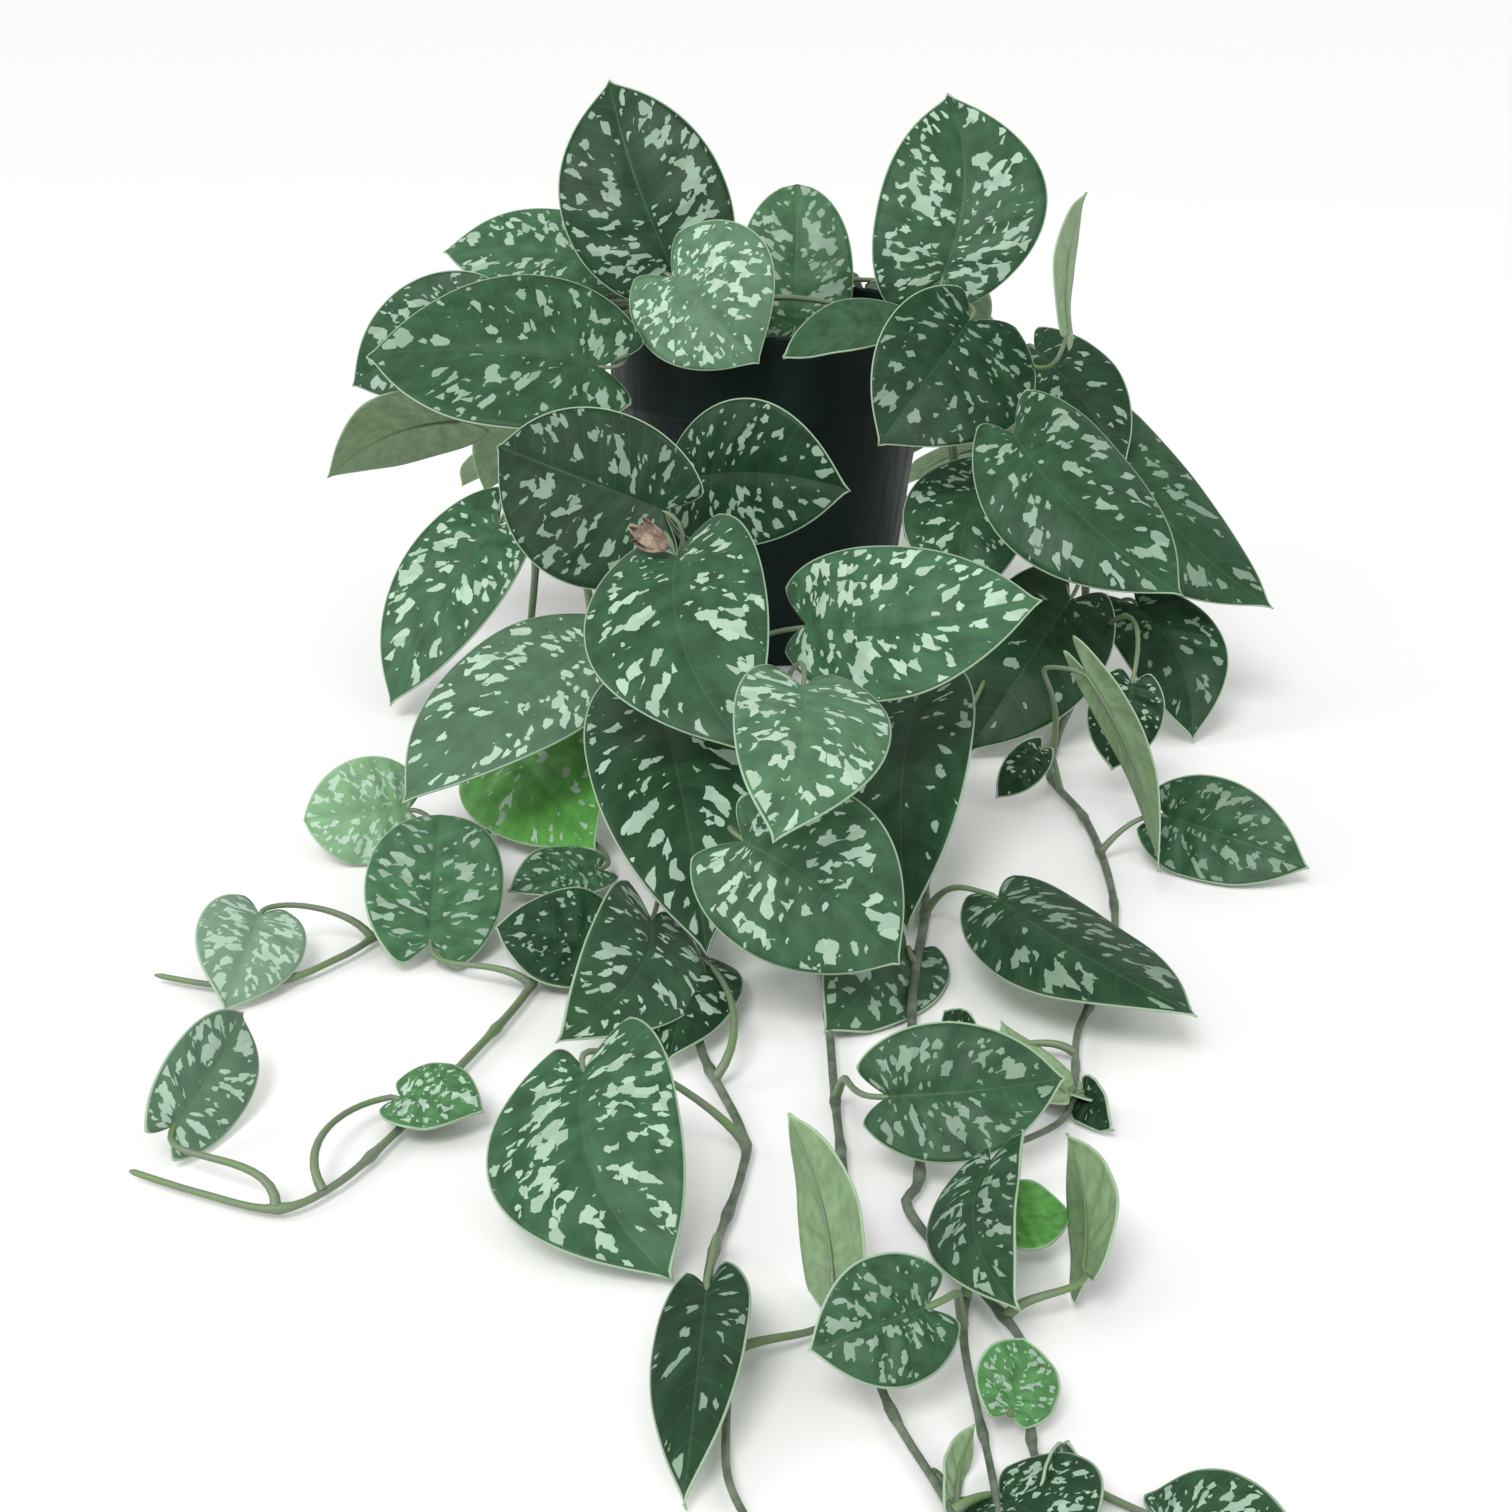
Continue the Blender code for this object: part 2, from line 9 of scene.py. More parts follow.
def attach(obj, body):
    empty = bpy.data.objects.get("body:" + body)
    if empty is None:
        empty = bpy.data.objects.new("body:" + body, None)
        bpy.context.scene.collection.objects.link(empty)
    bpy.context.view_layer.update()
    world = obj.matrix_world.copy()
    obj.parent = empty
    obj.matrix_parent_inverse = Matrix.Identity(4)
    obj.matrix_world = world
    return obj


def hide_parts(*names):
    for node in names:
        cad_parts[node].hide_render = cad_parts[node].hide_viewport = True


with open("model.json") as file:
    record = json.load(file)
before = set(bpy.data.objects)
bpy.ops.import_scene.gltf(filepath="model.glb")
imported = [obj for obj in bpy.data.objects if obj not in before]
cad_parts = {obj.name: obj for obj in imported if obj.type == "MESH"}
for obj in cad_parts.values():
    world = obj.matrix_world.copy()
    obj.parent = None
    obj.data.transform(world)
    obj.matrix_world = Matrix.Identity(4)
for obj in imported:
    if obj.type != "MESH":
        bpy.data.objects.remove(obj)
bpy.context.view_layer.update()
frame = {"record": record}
print("frame loaded")

# The camera, and the sight lines that leaves are placed along (pixels of a 1512 wide image)
view = {
    "distance": 0.90,
    "height": 0.2767,
    "side": -0.0052,
    "tilt": math.radians(20),
    "focal": 2432,
    "image": 1512,
    "sensor": 36,
}
potShape = {
    "rimRadius": 0.0600,
    "bandBottomRadius": 0.0592,
    "bodyTopRadius": 0.0572,
    "baseRadius": 0.0440,
    "height": 0.1250,
    "bandHeight": 0.0310,
    "wall": 0.0016,
    "floor": 0.0025,
    "sides": 96,
    "drainHoles": 6,
    "drainRing": 0.031,
    "drainRadius": 0.0045,
    "drillDepth": 0.012,
    "soilTop": 0.1077,
}
bladeShape = {
    "lobeReach": 0.20,
    "widest": 0.30,
    "lobeStart": math.radians(25),
    "shoulder": 0.42,
    "fullness": 2.2,
    "tipPower": 0.85,
    "drawnTip": 0.55,
    "drawnPower": 14,
    "roundLobe": 0.35,
    "veinPower": 2.0,
    "veinCurve": 1.4,
    "rows": 34,
    "columns": 28,
    "thickness": 0.00045,
    "grooveDepth": 0.0006,
    "grooveWidth": 0.0022,
    "ripple": 0.00045,
    "veins": 5,
    "edgeWave": 0.0016,
    "lowest": 0.0012,
    "patternLength": 0.062,
    "patternPower": 0.8,
}
eye = Vector((view["side"], -view["distance"], view["height"]))


def sight(px, py):
    right = (px - view["image"] / 2) / view["focal"]
    up = (view["image"] / 2 - py) / view["focal"]
    tilt = view["tilt"]
    return Vector((right, math.cos(tilt) + up * math.sin(tilt), up * math.cos(tilt) - math.sin(tilt)))


def seen(px, py, front):  # a picture point, at a distance in front of the pot's middle
    ray = sight(px, py)
    return eye + ray * ((view["distance"] - front) / ray.y)


def laid(px, py, height=0.0028):  # a picture point on the table
    ray = sight(px, py)
    return eye + ray * ((height - view["height"]) / ray.z)


def spot(x, front, z):
    return Vector((x, -front, z))


def roundPot(angle, radius, z):  # 0 degrees is the front, and positive goes to the right
    turn = math.radians(angle)
    return Vector((math.sin(turn) * radius, -math.cos(turn) * radius, z))


def overRim(angle, start=None):
    lead = angle if start is None else start
    return [
        roundPot(lead, 0.030, potShape["soilTop"]),
        roundPot(lead, 0.034, 0.118),
        roundPot((lead + angle) / 2, 0.048, 0.1268),
        roundPot(angle, 0.0618, 0.1286),
        roundPot(angle, 0.0725, 0.120),
    ]


# A leaf: where it grows, the base and tip of its blade, its width, then tone, silver and shine. Tone runs
# from old dark green to young bright green, and each leaf's tone is also set to how lit or shaded it looks,
# as painted light and shade. Silver is how much of the blade is silver, and shine how bright that silver
# is, also set to how lit it looks; past 1 it paints a sheen that turns the whole blade silver-grey.
def leaf(at, base, tip, wide, tone=0.2, silver=0.3, shine=0.7, roll=0, fold=0.14, arch=0.07, curl=0.10,
         bend=0.0, lean=0.0, lobe=bladeShape["lobeReach"], hook=0.25, blunt=-0.35, faces=None):
    return {
        "at": at, "base": base, "tip": tip, "wide": wide, "tone": tone, "silver": silver, "shine": shine,
        "roll": math.radians(roll), "fold": fold, "arch": arch, "curl": curl, "bend": bend, "lean": lean,
        "lobe": lobe, "hook": hook, "blunt": blunt, "faces": faces,
    }


# Each stem: its route from the soil outward, and its leaves with the place where each one grows
stems = [
    dict(
        name="crown",
        radius=(0.0024, 0.0016),
        route=[
            spot(-0.004, 0.002, potShape["soilTop"]),
            spot(-0.003, 0.001, 0.114),
            spot(-0.002, 0.000, 0.122),
            spot(-0.002, -0.003, 0.130),
        ],
        leaves=[
            leaf(1.6, seen(672, 268, 0.034), seen(609, 80, 0.002), 0.059, 0.06, 0.42, 0.5, bend=0.03),
            leaf(1.9, seen(602, 266, 0.002), seen(443, 252, -0.016), 0.046, 0.5, 0.4, 0.8, roll=-45),
            leaf(0.8, seen(795, 328, -0.010), seen(797, 184, -0.034), 0.043, 0.62, 0.36, 0.75,
                 blunt=0.8, hook=0.0),
            leaf(2.7, seen(942, 277, 0.034), seen(947, 94, -0.004), 0.060, 0.3, 0.45, 0.8, bend=-0.10,
                 hook=0.15),
        ],
    ),
    dict(
        name="leftFar",
        young=True,
        radius=(0.0019, 0.0008),
        route=overRim(-88, -100) + [
            spot(-0.082, 0.020, 0.085),
            seen(533, 600, 0.045),
            laid(520, 700),
            laid(505, 780),
            laid(487, 832),
            laid(430, 885),
            laid(372, 938),
            laid(330, 962),
            laid(286, 979),
            laid(220, 985),
            laid(155, 975),
        ],
        leaves=[
            leaf(4.6, seen(459, 420, 0.040), seen(327, 478, 0.048), 0.046, 0.2, 0.2, 0.5, roll=-124,
                 bend=0.08),
            leaf(5.4, seen(498, 522, 0.078), seen(390, 706, 0.103), 0.047, 0.45, 0.35, 0.95, roll=-40),
            leaf(9.6, seen(408, 810, 0.222), seen(304, 821, 0.230), 0.034, 0.85, 0.45, 1.32, blunt=0.5,
                 roll=-10),
            leaf(11.0, seen(260, 914, 0.300), seen(224, 1011, 0.336), 0.029, 0.62, 0.52, 1.35),
        ],
        small=[
            leaf(2.6, seen(480, 312, 0.030), seen(352, 386, 0.024), 0.042, 0.25, 0.38, roll=-20),
        ],
    ),
    dict(
        name="leftNear",
        young=True,
        radius=(0.0019, 0.0008),
        route=overRim(-76) + [
            spot(-0.083, 0.045, 0.088),
            spot(-0.062, 0.105, 0.045),
            laid(585, 730),
            laid(556, 800),
            laid(545, 870),
            laid(537, 930),
            laid(531, 985),
            laid(452, 1075),
            laid(391, 1137),
            laid(335, 1185),
            laid(276, 1209),
            laid(200, 1193),
            laid(130, 1171),
        ],
        leaves=[
            leaf(6.25, seen(662, 510, 0.139), seen(497, 446, 0.100), 0.058, 0.0, 0.25, 0.3, lean=-0.15),
            leaf(6.5, seen(594, 644, 0.190), seen(402, 803, 0.240), 0.062, 0.45, 0.36, 1.08, roll=-50,
                 bend=0.05),
            leaf(7.2, seen(508, 742, 0.185), seen(596, 851, 0.240), 0.046, 1.0, 0.25, 0.95),
            leaf(11.0, seen(430, 940, 0.302), seen(440, 815, 0.245), 0.038, 0.62, 0.25, 0.65, blunt=0.6),
            leaf(14.2, seen(401, 1096, 0.392), seen(484, 1112, 0.398), 0.024, 0.7, 0.45, 1.0, roll=45),
            leaf(15.0, seen(176, 1124, 0.408), seen(243, 1012, 0.362), 0.023, 0.55, 0.5, 1.15, roll=-20),
        ],
        small=[
            leaf(8.6, laid(598, 868, 0.006), laid(508, 892, 0.004), 0.023, 0.55, 0.3,
                 faces=spot(0, 0.4, 1)),
        ],
    ),
    dict(
        name="centre",
        radius=(0.0020, 0.0008),
        route=overRim(-66, -62) + [
            spot(-0.066, 0.058, 0.090),
            spot(-0.044, 0.100, 0.054),
            spot(-0.030, 0.136, 0.010),
            laid(680, 800),
            laid(690, 870),
            laid(700, 930),
            laid(705, 985),
            laid(700, 1045),
            laid(742, 1132),
            laid(741, 1175),
            laid(709, 1270),
            laid(714, 1335),
            laid(726, 1388),
            laid(727, 1473),
            laid(750, 1525),
        ],
        leaves=[
            leaf(1.55, seen(672, 278, 0.050), seen(759, 364, 0.070), 0.054, 0.6, 0.42, 1.1, lean=-0.15,
                 lobe=0.3),
            leaf(5.4, seen(692, 478, 0.092), seen(851, 491, 0.112), 0.050, 0.03, 0.2, 0.5, bend=0.06),
            leaf(6.6, seen(676, 556, 0.232), seen(747, 752, 0.290), 0.053, 0.3, 0.25, 0.85, bend=-0.09),
            leaf(8.4, seen(655, 695, 0.235), seen(707, 957, 0.324), 0.048, 0.15, 0.35, 0.85, bend=0.02),
            leaf(10.2, seen(600, 950, 0.311), seen(495, 927, 0.305), 0.034, 0.1, 0.2, 0.5, roll=-40),
            leaf(9.3, seen(652, 918, 0.309), seen(556, 1042, 0.378), 0.034, 0.25, 0.4, 1.02, bend=0.08),
            leaf(13.25, seen(584, 1069, 0.420), seen(673, 1281, 0.464), 0.044, 0.4, 0.4, 0.82,
                 bend=-0.12, hook=0.12),
            leaf(16.5, seen(838, 1297, 0.475), seen(789, 1113, 0.455), 0.026, 0.2, 0.2, 0.5, roll=-120),
            leaf(14.8, seen(706, 1287, 0.478), seen(684, 1506, 0.538), 0.021, 0.05, 0.2, 0.4, roll=-30,
                 bend=0.04, hook=0.12),
        ],
        small=[
            leaf(12.4, seen(694, 960, 0.316), seen(668, 1062, 0.369), 0.028, 0.05, 0.25),
        ],
    ),
    dict(
        name="centreRight",
        radius=(0.0019, 0.0008),
        route=overRim(-56, -46) + [
            spot(-0.052, 0.068, 0.084),
            spot(-0.014, 0.112, 0.047),
            spot(0.000, 0.155, 0.012),
            laid(765, 800),
            laid(775, 850),
            laid(797, 910),
            laid(821, 954),
            laid(835, 1099),
            laid(843, 1166),
            laid(855, 1260),
            laid(881, 1387),
            laid(940, 1490),
            laid(962, 1528),
        ],
        leaves=[
            leaf(3.2, seen(600, 366, 0.073), seen(366, 357, 0.060), 0.068, 0.25, 0.24, 0.47, roll=-40),
            leaf(6.5, seen(806, 624, 0.235), seen(1042, 600, 0.245), 0.052, 0.5, 0.4, 1.0, roll=33,
                 bend=-0.09, lobe=0.13),
            leaf(8.2, seen(803, 686, 0.305), seen(773, 844, 0.368), 0.040, 0.62, 0.45, 1.05, bend=0.04,
                 lean=0.08),
            leaf(10.6, seen(744, 841, 0.337), seen(900, 965, 0.348), 0.047, 0.4, 0.3, 1.02, bend=0.05,
                 hook=0.55),
            leaf(12.0, seen(888, 1096, 0.414), seen(1066, 1078, 0.411), 0.032, 0.3, 0.3, 0.4, roll=10,
                 bend=-0.03),
        ],
        small=[
            leaf(15.8, seen(951, 1508, 0.537), seen(975, 1424, 0.520), 0.008, 0.3, 0.2, roll=125),
            leaf(16.4, seen(1000, 1496, 0.535), spot(0.052, 0.553, 0.004), 0.031, 0.1, 0.35,
                 faces=spot(0, 0.3, 1), lobe=0.3),
        ],
    ),
    dict(
        name="rightInner",
        radius=(0.0020, 0.0007),
        route=overRim(50) + [
            spot(0.064, 0.074, 0.080),
            spot(0.062, 0.118, 0.022),
            laid(935, 780),
            laid(925, 860),
            laid(925, 914),
            laid(912, 1007),
            laid(920, 1166),
            laid(906, 1202),
            laid(935, 1245),
            laid(969, 1277),
            laid(1005, 1318),
            laid(1023, 1345),
            laid(1033, 1390),
            laid(1031, 1436),
            laid(1040, 1478),
            laid(1048, 1528),
        ],
        leaves=[
            leaf(3.3, seen(890, 320, 0.074), seen(783, 358, 0.079), 0.030, 0.3, 0, 0.5, roll=-55),
            leaf(3.6, seen(970, 320, 0.084), seen(878, 446, 0.112), 0.055, 0.08, 0.3, 0.34, lean=0.2),
            leaf(4.7, seen(985, 478, 0.088), seen(962, 612, 0.125), 0.043, 0.3, 0.32, 0.95, bend=-0.08),
            leaf(7.4, seen(915, 700, 0.210), seen(908, 930, 0.290), 0.046, 0.15, 0.12, 0.7, roll=-30),
            leaf(9.0, seen(998, 896, 0.305), seen(1197, 1016, 0.364), 0.041, 0.1, 0.35, 0.32, roll=45,
                 bend=-0.10, lean=0.2, fold=-0.1, curl=0.25),
            leaf(15.0, seen(1088, 1270, 0.470), seen(1068, 1134, 0.440), 0.022, 0.2, 0.2, 0.5, roll=-120),
        ],
        small=[
            leaf(9.6, seen(908, 948, 0.301), seen(824, 1033, 0.352), 0.036, 0.35, 0.3),
            leaf(7.0, seen(968, 672, 0.125), seen(885, 700, 0.130), 0.030, 0.1, 0.2),
            leaf(13.2, seen(1003, 1222, 0.450), seen(1072, 1213, 0.447), 0.0185, 0.95, 0.0, roll=40),
            leaf(17.2, seen(1011, 1410, 0.514), seen(1023, 1338, 0.498), 0.0165, 0.75, 0.3, roll=-15),
            leaf(18.6, seen(1051, 1508, 0.538), seen(1066, 1442, 0.519), 0.010, 0.2, 0.3, roll=-40),
            leaf(18.9, seen(1156, 1524, 0.540), spot(0.090, 0.553, 0.004), 0.025, 0.2, 0.35,
                 faces=spot(0, 0.3, 1)),
        ],
    ),
    dict(
        name="rightMid",
        radius=(0.0010, 0.0007),
        route=[
            laid(965, 1296),
            laid(964, 1343),
            laid(975, 1400),
            laid(991, 1470),
            laid(1000, 1525),
        ],
        leaves=[
            leaf(0.7, seen(925, 1308, 0.503), seen(808, 1351, 0.511), 0.025, 0.32, 0.3, 0.45, lobe=0.3),
            leaf(0.1, seen(989, 1160, 0.442), seen(1020, 1310, 0.492), 0.022, 0.2, 0.35, 0.5, roll=-20,
                 bend=-0.1, hook=0.8),
        ],
    ),
    dict(
        name="rightLong",
        radius=(0.0020, 0.0008),
        route=overRim(80, 88) + [
            spot(0.100, 0.030, 0.088),
            spot(0.112, 0.055, 0.048),
            spot(0.108, 0.092, 0.014),
            laid(1058, 735),
            laid(1050, 775),
            laid(1083, 816),
            laid(1105, 865),
            laid(1115, 919),
            laid(1105, 975),
            laid(1078, 1031),
            laid(1075, 1085),
            laid(1062, 1120),
            laid(1020, 1142),
        ],
        leaves=[
            leaf(4.2, seen(1066, 332, 0.100), seen(1087, 192, 0.074), 0.030, 0.2, 0.2, 0.5, roll=104,
                 lobe=0.12, hook=0.0),
            leaf(4.7, seen(1035, 348, 0.050), seen(1126, 467, 0.090), 0.036, 0.05, 0.15, 0.4, roll=30),
            leaf(5.2, seen(1015, 435, 0.130), seen(1183, 596, 0.165), 0.054, 0.22, 0.28, 0.52, roll=30,
                 bend=-0.10, lean=-0.15, fold=-0.05, curl=0.2, hook=0.7),
            leaf(5.35, seen(1110, 440, 0.075), seen(1273, 609, 0.105), 0.046, 0.2, 0.28, 0.32, roll=35,
                 bend=-0.12, fold=-0.05, curl=0.2),
            leaf(6.6, seen(1137, 605, 0.095), seen(1192, 741, 0.130), 0.036, 0.1, 0.15, 0.35, roll=20,
                 bend=0.10),
            leaf(6.2, seen(1070, 600, 0.110), seen(968, 753, 0.145), 0.045, 0.05, 0.08, 0.35),
            leaf(8.4, seen(1088, 672, 0.205), seen(1160, 872, 0.262), 0.018, 0.2, 0.2, 0.5, roll=125,
                 hook=0.85),
            leaf(10.75, seen(1166, 816, 0.230), seen(1309, 868, 0.252), 0.032, 0.3, 0.3, 0.36, roll=10),
        ],
        small=[
            leaf(6.9, seen(1132, 684, 0.176), seen(1112, 770, 0.182), 0.024, 0.05, 0.2),
            leaf(9.4, seen(1040, 750, 0.186), seen(996, 798, 0.190), 0.013, 0.05, 0.1),
            leaf(15.2, seen(1068, 1096, 0.388), seen(1001, 1021, 0.352), 0.016, 0.2, 0.2, roll=140),
            leaf(15.4, seen(1082, 1092, 0.386), seen(1112, 1130, 0.401), 0.012, 0.05, 0.1, roll=-30),
            leaf(14.4, seen(966, 1034, 0.352), seen(944, 1011, 0.345), 0.009, 0.0, 0.1),
        ],
    ),
    dict(
        name="backLeft",
        radius=(0.0021, 0.0011),
        route=overRim(-145) + [
            spot(-0.048, -0.078, 0.080),
            spot(-0.052, -0.098, 0.030),
            spot(-0.058, -0.120, 0.0028),
            spot(-0.080, -0.150, 0.0028),
            spot(-0.075, -0.190, 0.0028),
            spot(-0.040, -0.215, 0.0028),
            spot(-0.015, -0.250, 0.0028),
        ],
        leaves=[
            leaf(3.3, spot(-0.070, -0.060, 0.112), spot(-0.098, -0.100, 0.070), 0.044, 0.3, 0.3, 0.6,
                 faces=spot(-0.3, -1, 0.8)),
            leaf(8.0, spot(-0.070, -0.175, 0.036), spot(-0.045, -0.225, 0.018), 0.040, 0.4, 0.35, 0.7,
                 faces=spot(0, -0.3, 1)),
        ],
        small=[
            leaf(2.4, spot(-0.050, -0.040, 0.128), spot(-0.085, -0.085, 0.095), 0.046, 0.1, 0.4,
                 faces=spot(-0.3, -1, 0.8)),
            leaf(4.5, spot(-0.030, -0.092, 0.098), spot(-0.020, -0.118, 0.042), 0.046, 0.0, 0.3,
                 faces=spot(0.1, -1, 0.35)),
            leaf(5.5, spot(-0.088, -0.098, 0.074), spot(-0.122, -0.120, 0.026), 0.042, 0.2, 0.3,
                 faces=spot(-0.6, -1, 0.5)),
            leaf(6.9, spot(-0.028, -0.132, 0.042), spot(0.004, -0.172, 0.014), 0.040, 0.1, 0.35,
                 faces=spot(0.1, -0.8, 1)),
            leaf(9.0, spot(-0.105, -0.178, 0.032), spot(-0.142, -0.205, 0.008), 0.034, 0.5, 0.4,
                 faces=spot(-0.2, -0.5, 1)),
            leaf(10.5, spot(-0.016, -0.208, 0.026), spot(0.016, -0.192, 0.008), 0.026, 0.8, 0.35,
                 faces=spot(0.2, -0.3, 1)),
        ],
    ),
    dict(
        name="backRight",
        radius=(0.0021, 0.0011),
        route=overRim(150) + [
            spot(0.048, -0.078, 0.080),
            spot(0.056, -0.098, 0.030),
            spot(0.064, -0.120, 0.0028),
            spot(0.090, -0.140, 0.0028),
            spot(0.120, -0.165, 0.0028),
            spot(0.125, -0.200, 0.0028),
            spot(0.105, -0.235, 0.0028),
        ],
        leaves=[
            leaf(4.2, spot(0.060, -0.084, 0.112), spot(0.090, -0.122, 0.070), 0.046, 0.2, 0.3, 0.6,
                 faces=spot(0.3, -1, 0.8)),
            leaf(8.0, spot(0.098, -0.150, 0.032), spot(0.140, -0.185, 0.016), 0.040, 0.4, 0.35, 0.7,
                 faces=spot(0, -0.3, 1)),
        ],
        small=[
            leaf(2.5, spot(0.052, -0.045, 0.128), spot(0.085, -0.086, 0.095), 0.044, 0.05, 0.3,
                 faces=spot(0.3, -1, 0.8)),
            leaf(4.7, spot(0.030, -0.094, 0.092), spot(0.024, -0.118, 0.038), 0.042, 0.2, 0.35,
                 faces=spot(-0.1, -1, 0.35)),
            leaf(5.6, spot(0.092, -0.092, 0.064), spot(0.130, -0.104, 0.024), 0.038, 0.1, 0.25,
                 faces=spot(0.6, -0.9, 0.5)),
            leaf(7.2, spot(0.046, -0.142, 0.036), spot(0.036, -0.184, 0.010), 0.038, 0.3, 0.35,
                 faces=spot(0, -0.7, 1)),
            leaf(9.4, spot(0.100, -0.190, 0.030), spot(0.066, -0.214, 0.008), 0.032, 0.6, 0.4,
                 faces=spot(-0.1, -0.5, 1)),
            leaf(10.5, spot(0.146, -0.212, 0.022), spot(0.160, -0.240, 0.007), 0.024, 0.85, 0.3,
                 faces=spot(0.1, -0.4, 1)),
        ],
    ),
]


# Small helpers for building node trees
def newMaterial(name, baseRoughness=0.5):
    material = bpy.data.materials.new(name)
    material.use_nodes = True
    shader = material.node_tree.nodes["Principled BSDF"]
    shader.inputs["Roughness"].default_value = baseRoughness
    return material, material.node_tree, shader


def addNode(tree, kind, inputs=None, **settings):
    node = tree.nodes.new(kind)
    for key, value in settings.items():
        setattr(node, key, value)
    for key, value in (inputs or {}).items():
        if isinstance(value, bpy.types.NodeSocket):
            tree.links.new(value, node.inputs[key])
        else:
            node.inputs[key].default_value = value
    return node


def noiseAt(tree, place, scale, detail, rough=0.5):
    inputs = {"Vector": place, "Scale": scale, "Detail": detail, "Roughness": rough}
    return addNode(tree, "ShaderNodeTexNoise", inputs)


def vectorMaths(tree, operation, first, second):
    return addNode(tree, "ShaderNodeVectorMath", {0: first, 1: second}, operation=operation).outputs[0]


def bumped(tree, shader, height, strength, distance):
    bump = addNode(tree, "ShaderNodeBump", {"Height": height, "Strength": strength, "Distance": distance})
    tree.links.new(bump.outputs[0], shader.inputs["Normal"])


def maths(tree, operation, first, second=0.0, third=0.0, clamp=False):
    inputs = {0: first, 1: second, 2: third}
    return addNode(tree, "ShaderNodeMath", inputs, operation=operation, use_clamp=clamp).outputs[0]


def ranged(tree, value, low, high, outLow=0.0, outHigh=1.0, kind="SMOOTHSTEP"):
    node = addNode(tree, "ShaderNodeMapRange", {"Value": value, "From Min": low, "From Max": high,
                                                "To Min": outLow, "To Max": outHigh})
    node.interpolation_type = kind
    return node.outputs["Result"]


def blended(tree, amount, first, second, kind="MIX"):
    node = tree.nodes.new("ShaderNodeMix")
    node.data_type = "RGBA"
    node.blend_type = kind
    for socket, value in ((node.inputs[0], amount), (node.inputs[6], first), (node.inputs[7], second)):
        if isinstance(value, bpy.types.NodeSocket):
            tree.links.new(value, socket)
        elif isinstance(value, tuple):
            socket.default_value = (*value, 1)
        else:
            socket.default_value = value
    return node.outputs[2]


def leafPlace(tree):
    place = addNode(tree, "ShaderNodeAttribute", attribute_name="veinPlace").outputs["Vector"]
    traits = addNode(tree, "ShaderNodeAttribute", attribute_name="leafTraits").outputs["Vector"]
    traits = addNode(tree, "ShaderNodeSeparateXYZ", {0: traits})
    return place, traits.outputs[0], traits.outputs[1], traits.outputs[2]


def stretched(tree, place, along, across):
    inputs = {"Vector": place, "Scale": (1 / along, 1 / across, 1)}
    return addNode(tree, "ShaderNodeMapping", inputs).outputs[0]


def cellColours(tree, place, size):  # three random values for each stretched cell
    cells = addNode(tree, "ShaderNodeTexVoronoi", {"Vector": stretched(tree, place, *size), "Scale": 1.0})
    return addNode(tree, "ShaderNodeSeparateColor", {0: cells.outputs["Color"]})


# The leaf's upper side: green with silver patches that run along its side veins
upperLook = {
    "deep": (0.005, 0.027, 0.009),
    "middle": (0.040, 0.108, 0.052),
    "bright": (0.085, 0.270, 0.055),
    "silver": (0.350, 0.480, 0.375),
    "dimSilver": (0.075, 0.125, 0.080),
    "rib": (0.090, 0.170, 0.080),
    "margin": (0.330, 0.450, 0.310),
    "patch": (3.9, 2.5),
    "fleck": (1.9, 1.1),
    "veinSpacing": 5.2,
    "wander": (2.4, 1.5, 0.0),
    "fleckShare": 0.09,
    "veinShow": 0.07,
    "ribShow": 0.15,
    "marginShow": 0.85,
    "roughness": 0.42,
    "silverRoughness": 0.52,
    "specular": 0.16,
    "relief": 0.35,
}


